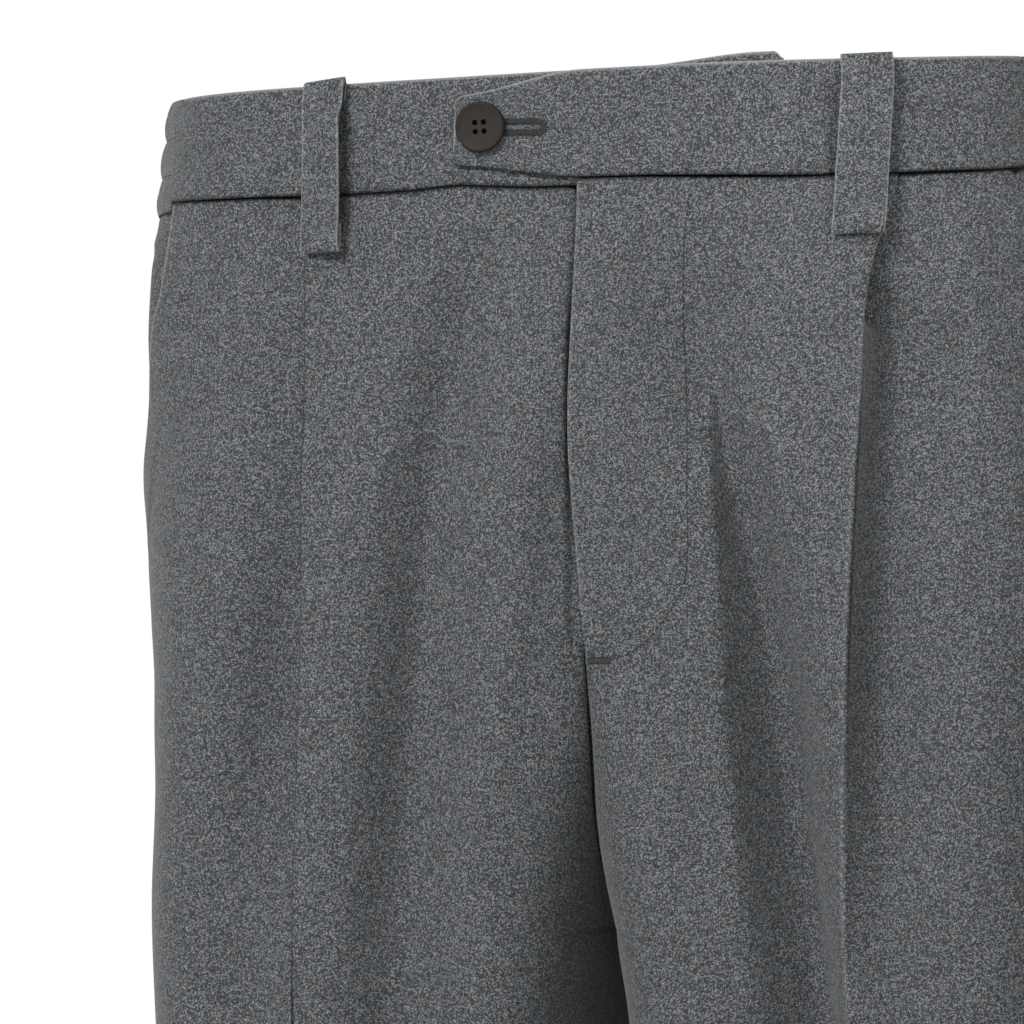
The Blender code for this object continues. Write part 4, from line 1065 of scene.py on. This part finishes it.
# the width of the painted highlight along a loop's folded edges
LOOP_LINE_WIDTH = 0.0004
Bend = namedtuple("Bend", "z lift")
LOOP_LINE = (
    Bend(-0.0060, 0.0024),
    Bend(-0.0005, 0.0025),
    Bend(0.0012, 0.0037),
    Bend(0.0002, 0.0050),
    Bend(-0.0080, 0.0054),
    Bend(-0.0220, 0.0055),
    Bend(-0.0380, 0.0055),
    Bend(-0.0500, 0.0057),
    Bend(-0.0562, 0.0059),
    Bend(-0.0580, 0.0049),
    Bend(-0.0564, 0.0037),
    Bend(-0.0490, 0.0035),
)


def belt_loop(turn, width=LOOP_WIDTH, lean=0.0, stand=0.0, shorter=0.0, lower=0.0, slant=0.0, twist=0.0,
              dent=0.0):
    """lean moves the loop's foot towards the wearer's left, stand lifts the whole loop, lower sinks its
    top, slant raises the top's left end, twist lifts its left edge and dent presses in its right one."""
    line = np.array(LOOP_LINE)
    line[:, 1] += stand
    length = line[0, 0] - line[-3, 0]
    down = np.maximum(line[0, 0] - line[:, 0], 0) / length
    line[:, 0] += shorter * ease(down, 0.3, 0.8) - lower * (1 - ease(down, 0.1, 0.6))
    fine = smooth_through(line[None], np.linspace(0, len(line) - 1, 8 * (len(line) - 1) + 1))[0]
    z, lift = fine[:, :1], fine[:, 1:]
    down = np.maximum(line[0, 0] - z, 0) / length
    level = Level(z)
    per_metre = 1 / level.run(math.pi / 2 + abs(turn))
    part = np.concatenate(((-0.5, -0.485, -0.46), np.linspace(-0.42, 0.42, 19), (0.46, 0.485, 0.5)))
    place = turn + (part * width + lean * down) * per_metre
    hollow = dent * close_to(part + 0.36, 0.12) * close_to(z + 0.016, 0.014)
    lift = lift - 0.0003 * np.abs(2 * part) ** 8 - np.where(down < 0.5, hollow, 0)
    lift = lift + twist * (part + 0.5) * ease(down, 0.0, 0.12)
    z = z + slant * part * (1 - ease(down, 0.1, 0.6))
    if abs(turn) == math.pi:
        return skin(1, z, math.pi / 2 + place, lift)
    side = 1 if turn > 0 else -1
    return skin(side, z, math.pi / 2 + side * place, lift)


LOOPS = {
    "front_left": belt_loop(turn_at(0.0962), lean=-0.0065, stand=0.0006, lower=0.0012),
    "front_right": belt_loop(turn_at(-0.0850), width=0.0138, lean=0.0048, shorter=0.0024, slant=0.0012,
                             twist=0.0042, dent=0.0012),
    "side_left": belt_loop(math.radians(118), stand=0.0030),
    "side_right": belt_loop(math.radians(-118), stand=0.0030),
    "centre_back": belt_loop(math.pi, stand=0.0030),
}
for word, loop_places in LOOPS.items():
    across, down = cloth_lengths(loop_places, 0)
    # painted highlights along the loop's two folded edges
    edges = close_to(across, LOOP_LINE_WIDTH) + close_to(across[:, -1:] - across, LOOP_LINE_WIDTH)
    add_cloth(f"belt_loop_{word}", loop_places, STRAP, band_cloth, pressed=0.5 * edges)


# The button: dark brown polyester, matte, with a sunk middle in a rounded rim and four holes.
BUTTON_RADIUS = 0.0085
BUTTON_THICK = 0.0032
BUTTON_X, BUTTON_Z = -0.0305, -0.0172
HOLE_RADIUS = 0.00095
HOLE_OUT = 0.00150

brown, brown_tree, brown_shader = new_material("dark brown polyester, turned and matted", 0.58)
brown_shader.inputs["Specular IOR Level"].default_value = 0.22
brown_at = node(brown_tree, "ShaderNodeTexCoord").outputs["Object"]
cloud = node(brown_tree, "ShaderNodeTexNoise", {0: brown_at}, value_2=160.0, value_3=3.0, value_4=0.6)
mottled = ramp(brown_tree, cloud.outputs[0], (0.34, linear("272220")), (0.66, linear("312c29")))
brown_tree.links.new(mottled, brown_shader.inputs["Base Color"])

button_foot = Vector(skin(-1, BUTTON_Z, math.pi / 2 - turn_at(BUTTON_X), 0.0))
button_out = (Vector(skin(-1, BUTTON_Z, math.pi / 2 - turn_at(BUTTON_X), 0.01)) - button_foot).normalized()
button_stand = 0.0013 + BAND / 2 + 0.0004 + BUTTON_THICK / 2
button_turn = Matrix.Rotation(math.radians(4), 4, "Z")
button_place = (
    Matrix.Translation(button_foot + button_out * button_stand)
    @ button_out.to_track_quat("Z", "Y").to_matrix().to_4x4() @ button_turn
)
PROFILE = (
    (0.0, -0.5), (0.62, -0.5), (0.86, -0.38), (0.97, -0.16), (1.0, 0.05), (0.99, 0.26), (0.965, 0.40),
    (0.93, 0.47), (0.90, 0.48), (0.87, 0.46), (0.84, 0.43), (0.80, 0.41), (0.40, 0.34), (0.0, 0.32),
)
turning = bmesh.new()
rim = [turning.verts.new((r * BUTTON_RADIUS, 0, h * BUTTON_THICK)) for r, h in PROFILE]
rim_edges = [turning.edges.new(pair) for pair in zip(rim, rim[1:])]
bmesh.ops.spin(turning, geom=rim + rim_edges, axis=(0, 0, 1), steps=72, angle=2 * math.pi, use_merge=True)
bmesh.ops.remove_doubles(turning, verts=turning.verts, dist=1e-6)
bmesh.ops.recalc_face_normals(turning, faces=turning.faces)
button = add_mesh("button_turned", turning, brown)
for hole_x in (-HOLE_OUT, HOLE_OUT):
    for hole_y in (-HOLE_OUT, HOLE_OUT):
        drill_mesh = bmesh.new()
        bmesh.ops.create_cone(drill_mesh, cap_ends=True, segments=20, radius1=HOLE_RADIUS,
                              radius2=HOLE_RADIUS, depth=0.01,
                              matrix=Matrix.Translation((hole_x, hole_y, 0)))
        drill = add_mesh("drill", drill_mesh, brown)
        hole = button.modifiers.new("hole", "BOOLEAN")
        hole.operation = "DIFFERENCE"
        hole.object = drill
        with_hole = button.evaluated_get(bpy.context.evaluated_depsgraph_get())
        drilled = bpy.data.meshes.new_from_object(with_hole)
        button.modifiers.clear()
        button.data = drilled
        bpy.data.objects.remove(drill)
button.data.transform(button_place)
button.data.set_sharp_from_angle(angle=math.radians(40))
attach(button, "root")
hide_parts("button")


# The sewing on the front: spun polyester thread, darker than the cloth and drawn down into it; the black
# thread is dark enough to paint also the shade of its groove, and each stitch has painted shade at its
# ends.
# A curved row of lockstitches holds the fly's facing, a bar tack its end, and the buttonhole is worked in
# satin stitches with purls along its slit, pale enough to paint their highlights.
THREAD = 0.00048
STITCH = 0.0021
STITCH_EVERY = 0.0026
FLY_SEAM = (  # x and z of places along it
    (0.0389, -0.0400), (0.0372, -0.0560), (0.0366, -0.0720), (0.0367, -0.0870), (0.0380, -0.1050),
    (0.0397, -0.1230), (0.0404, -0.1430), (0.0403, -0.1620), (0.0386, -0.1710), (0.0353, -0.1773),
    (0.0308, -0.1833), (0.0265, -0.1882), (0.0215, -0.1919), (0.0174, -0.1938), (0.0123, -0.1948),
    (0.0058, -0.1952),
)
TACK_AT = (0.0105, -0.1950)
TACK_LENGTH = 0.0082
TACK_WIDTH = 0.0024
BUTTONHOLE = (-0.0300, -0.0115)  # from under the button to its outer end
BUTTONHOLE_Z = -0.0188
SATIN_EVERY = 0.00046
SATIN = (0.0007, 0.0030)  # from the slit to the stitches' inner and outer ends
PURL = 0.00052


def spun_thread(name, dark, light):
    """A two-ply thread, with shade painted at both ends of each stitch, where it sinks into the cloth."""
    material, tree, shader = new_material(name, 0.6)
    shader.inputs["Sheen Weight"].default_value = 0.2
    place = node(tree, "ShaderNodeUVMap", uv_map="ply").outputs["UV"]
    ply = node(tree, "ShaderNodeTexWave", {0: place}, bands_direction="DIAGONAL", value_1=3.0)
    colour = ramp(tree, ply.outputs[0], (0, linear(dark)), (1, linear(light)))
    run = node(tree, "ShaderNodeSeparateXYZ", {0: place}).outputs[1]
    # painted shade at a stitch's ends, where it sinks into the cloth
    sunk, clear = (0.12, 0.12, 0.12, 1), (1, 1, 1, 1)
    ends = ramp(tree, run, (0.20, sunk), (0.40, clear), (0.60, clear), (0.80, sunk))
    shaded = node(tree, "ShaderNodeMix", {6: colour, 7: ends}, data_type="RGBA", blend_type="MULTIPLY",
                  value_0=1.0)
    tree.links.new(shaded.outputs[2], shader.inputs["Base Color"])
    return material


# black thread, kept dark enough to paint also the shade of the groove it draws in the cloth
dark_thread = spun_thread("black polyester thread, spun, with painted groove shade", "141517", "303134")
grey_thread = spun_thread("charcoal polyester thread, spun", "232426", "47494c")
# pale grey purls, whose colour also paints their highlights along the slit
slit_thread = spun_thread("grey silk thread, worked as purls", "4c4e51", "a0a2a4")


def upper_side(name):
    return BVHTree.FromObject(bpy.data.objects[name], bpy.context.evaluated_depsgraph_get())


def strand(tree, x0, z0, x1, z1, width):
    """A stitch on a piece's front, between two x and z: its ends, which way is out, and its width."""
    found = [tree.ray_cast(Vector((x, -1, z)), Vector((0, 1, 0))) for x, z in ((x0, z0), (x1, z1))]
    return found[0][0], found[1][0], (found[0][1] + found[1][1]).normalized(), width


def add_stitches(name, strands, material, sunk=0.25):
    """Spindles of thread, sunk into the cloth by this share of their width."""
    bm = bmesh.new()
    bm.loops.layers.uv.new("ply")
    for start, end, out, width in strands:
        run = end - start
        across = out.cross(run).normalized()
        up = run.cross(across).normalized()
        turn = Matrix((across, up, run.normalized())).transposed().to_4x4()
        size = Matrix.Diagonal((width / 2, 0.4 * width, run.length / 2 + width / 4, 1))
        lift = Matrix.Translation((start + end) / 2 + up * width * (0.4 - sunk))
        bmesh.ops.create_uvsphere(bm, u_segments=8, v_segments=6, radius=1, matrix=lift @ turn @ size,
                                  calc_uvs=True)
    bmesh.ops.recalc_face_normals(bm, faces=bm.faces)
    made = add_mesh(name, bm, material)
    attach(made, "root")


leg_front = upper_side("front_left_cloth")
line_points = np.array(FLY_SEAM)
fine_line = smooth_through(line_points[None], np.linspace(0, len(line_points) - 1, 200))[0]
walked = np.concatenate(([0], np.cumsum(np.linalg.norm(np.diff(fine_line, axis=0), axis=1))))
starts = np.arange(0.001, walked[-1] - STITCH, STITCH_EVERY)
seam_ends = [
    [float(np.interp(at, walked, fine_line[:, k])) for at in (start, start + STITCH) for k in (0, 1)]
    for start in starts
]
fly_row = [strand(leg_front, *ends, THREAD) for ends in seam_ends]
add_stitches("fly_stitching", fly_row, dark_thread)

tack_x = np.arange(TACK_AT[0] - TACK_LENGTH / 2, TACK_AT[0] + TACK_LENGTH / 2, SATIN_EVERY)
low, high = TACK_AT[1] - TACK_WIDTH / 2, TACK_AT[1] + TACK_WIDTH / 2
tack = [strand(leg_front, x, low, x + 0.0001, high, 1.1 * THREAD) for x in tack_x]
add_stitches("fly_bar_tack", tack, grey_thread, sunk=0.1)

tab = upper_side("waistband_left_cloth")
satin, purls = [], []
inner, outer = SATIN
for x in np.arange(*BUTTONHOLE, SATIN_EVERY):
    for up in (-1, 1):
        satin.append(strand(tab, x, BUTTONHOLE_Z + up * inner, x, BUTTONHOLE_Z + up * outer, THREAD))
        knot = BUTTONHOLE_Z + up * 0.5 * inner
        if math.sin(5.7 * x / SATIN_EVERY + up) > -0.2:
            purls.append(strand(tab, x - 0.00012, knot, x + 0.00012, knot, PURL))
for k in range(11):
    lean = math.radians(-90 + 18 * k)
    out_x, out_z = math.cos(lean), math.sin(lean)
    satin.append(strand(
        tab, BUTTONHOLE[1] + inner * out_x, BUTTONHOLE_Z + inner * out_z,
        BUTTONHOLE[1] + outer * out_x, BUTTONHOLE_Z + outer * out_z, 1.3 * THREAD,
    ))
add_stitches("buttonhole_satin_stitches", satin, dark_thread, sunk=0.1)
add_stitches("buttonhole_purls", purls, slit_thread, sunk=0.0)

channel_stitches = []
for row in (CHANNEL_ROWS, 2 * CHANNEL_ROWS):
    for column in range(1, elastic_places.shape[1] - 3, 3):
        start, end = (Vector(elastic_places[row, column + k]) for k in (0, 2))
        down = Vector(elastic_places[row + 1, column + 1] - elastic_places[row - 1, column + 1])
        out = (end - start).cross(down).normalized()
        out = out if out.dot(start - Vector((0, 0, start.z))) > 0 else -out
        channel_stitches.append((start + out * BAND / 2, end + out * BAND / 2, out, THREAD))
add_stitches("elastic_channel_stitching", channel_stitches, dark_thread)
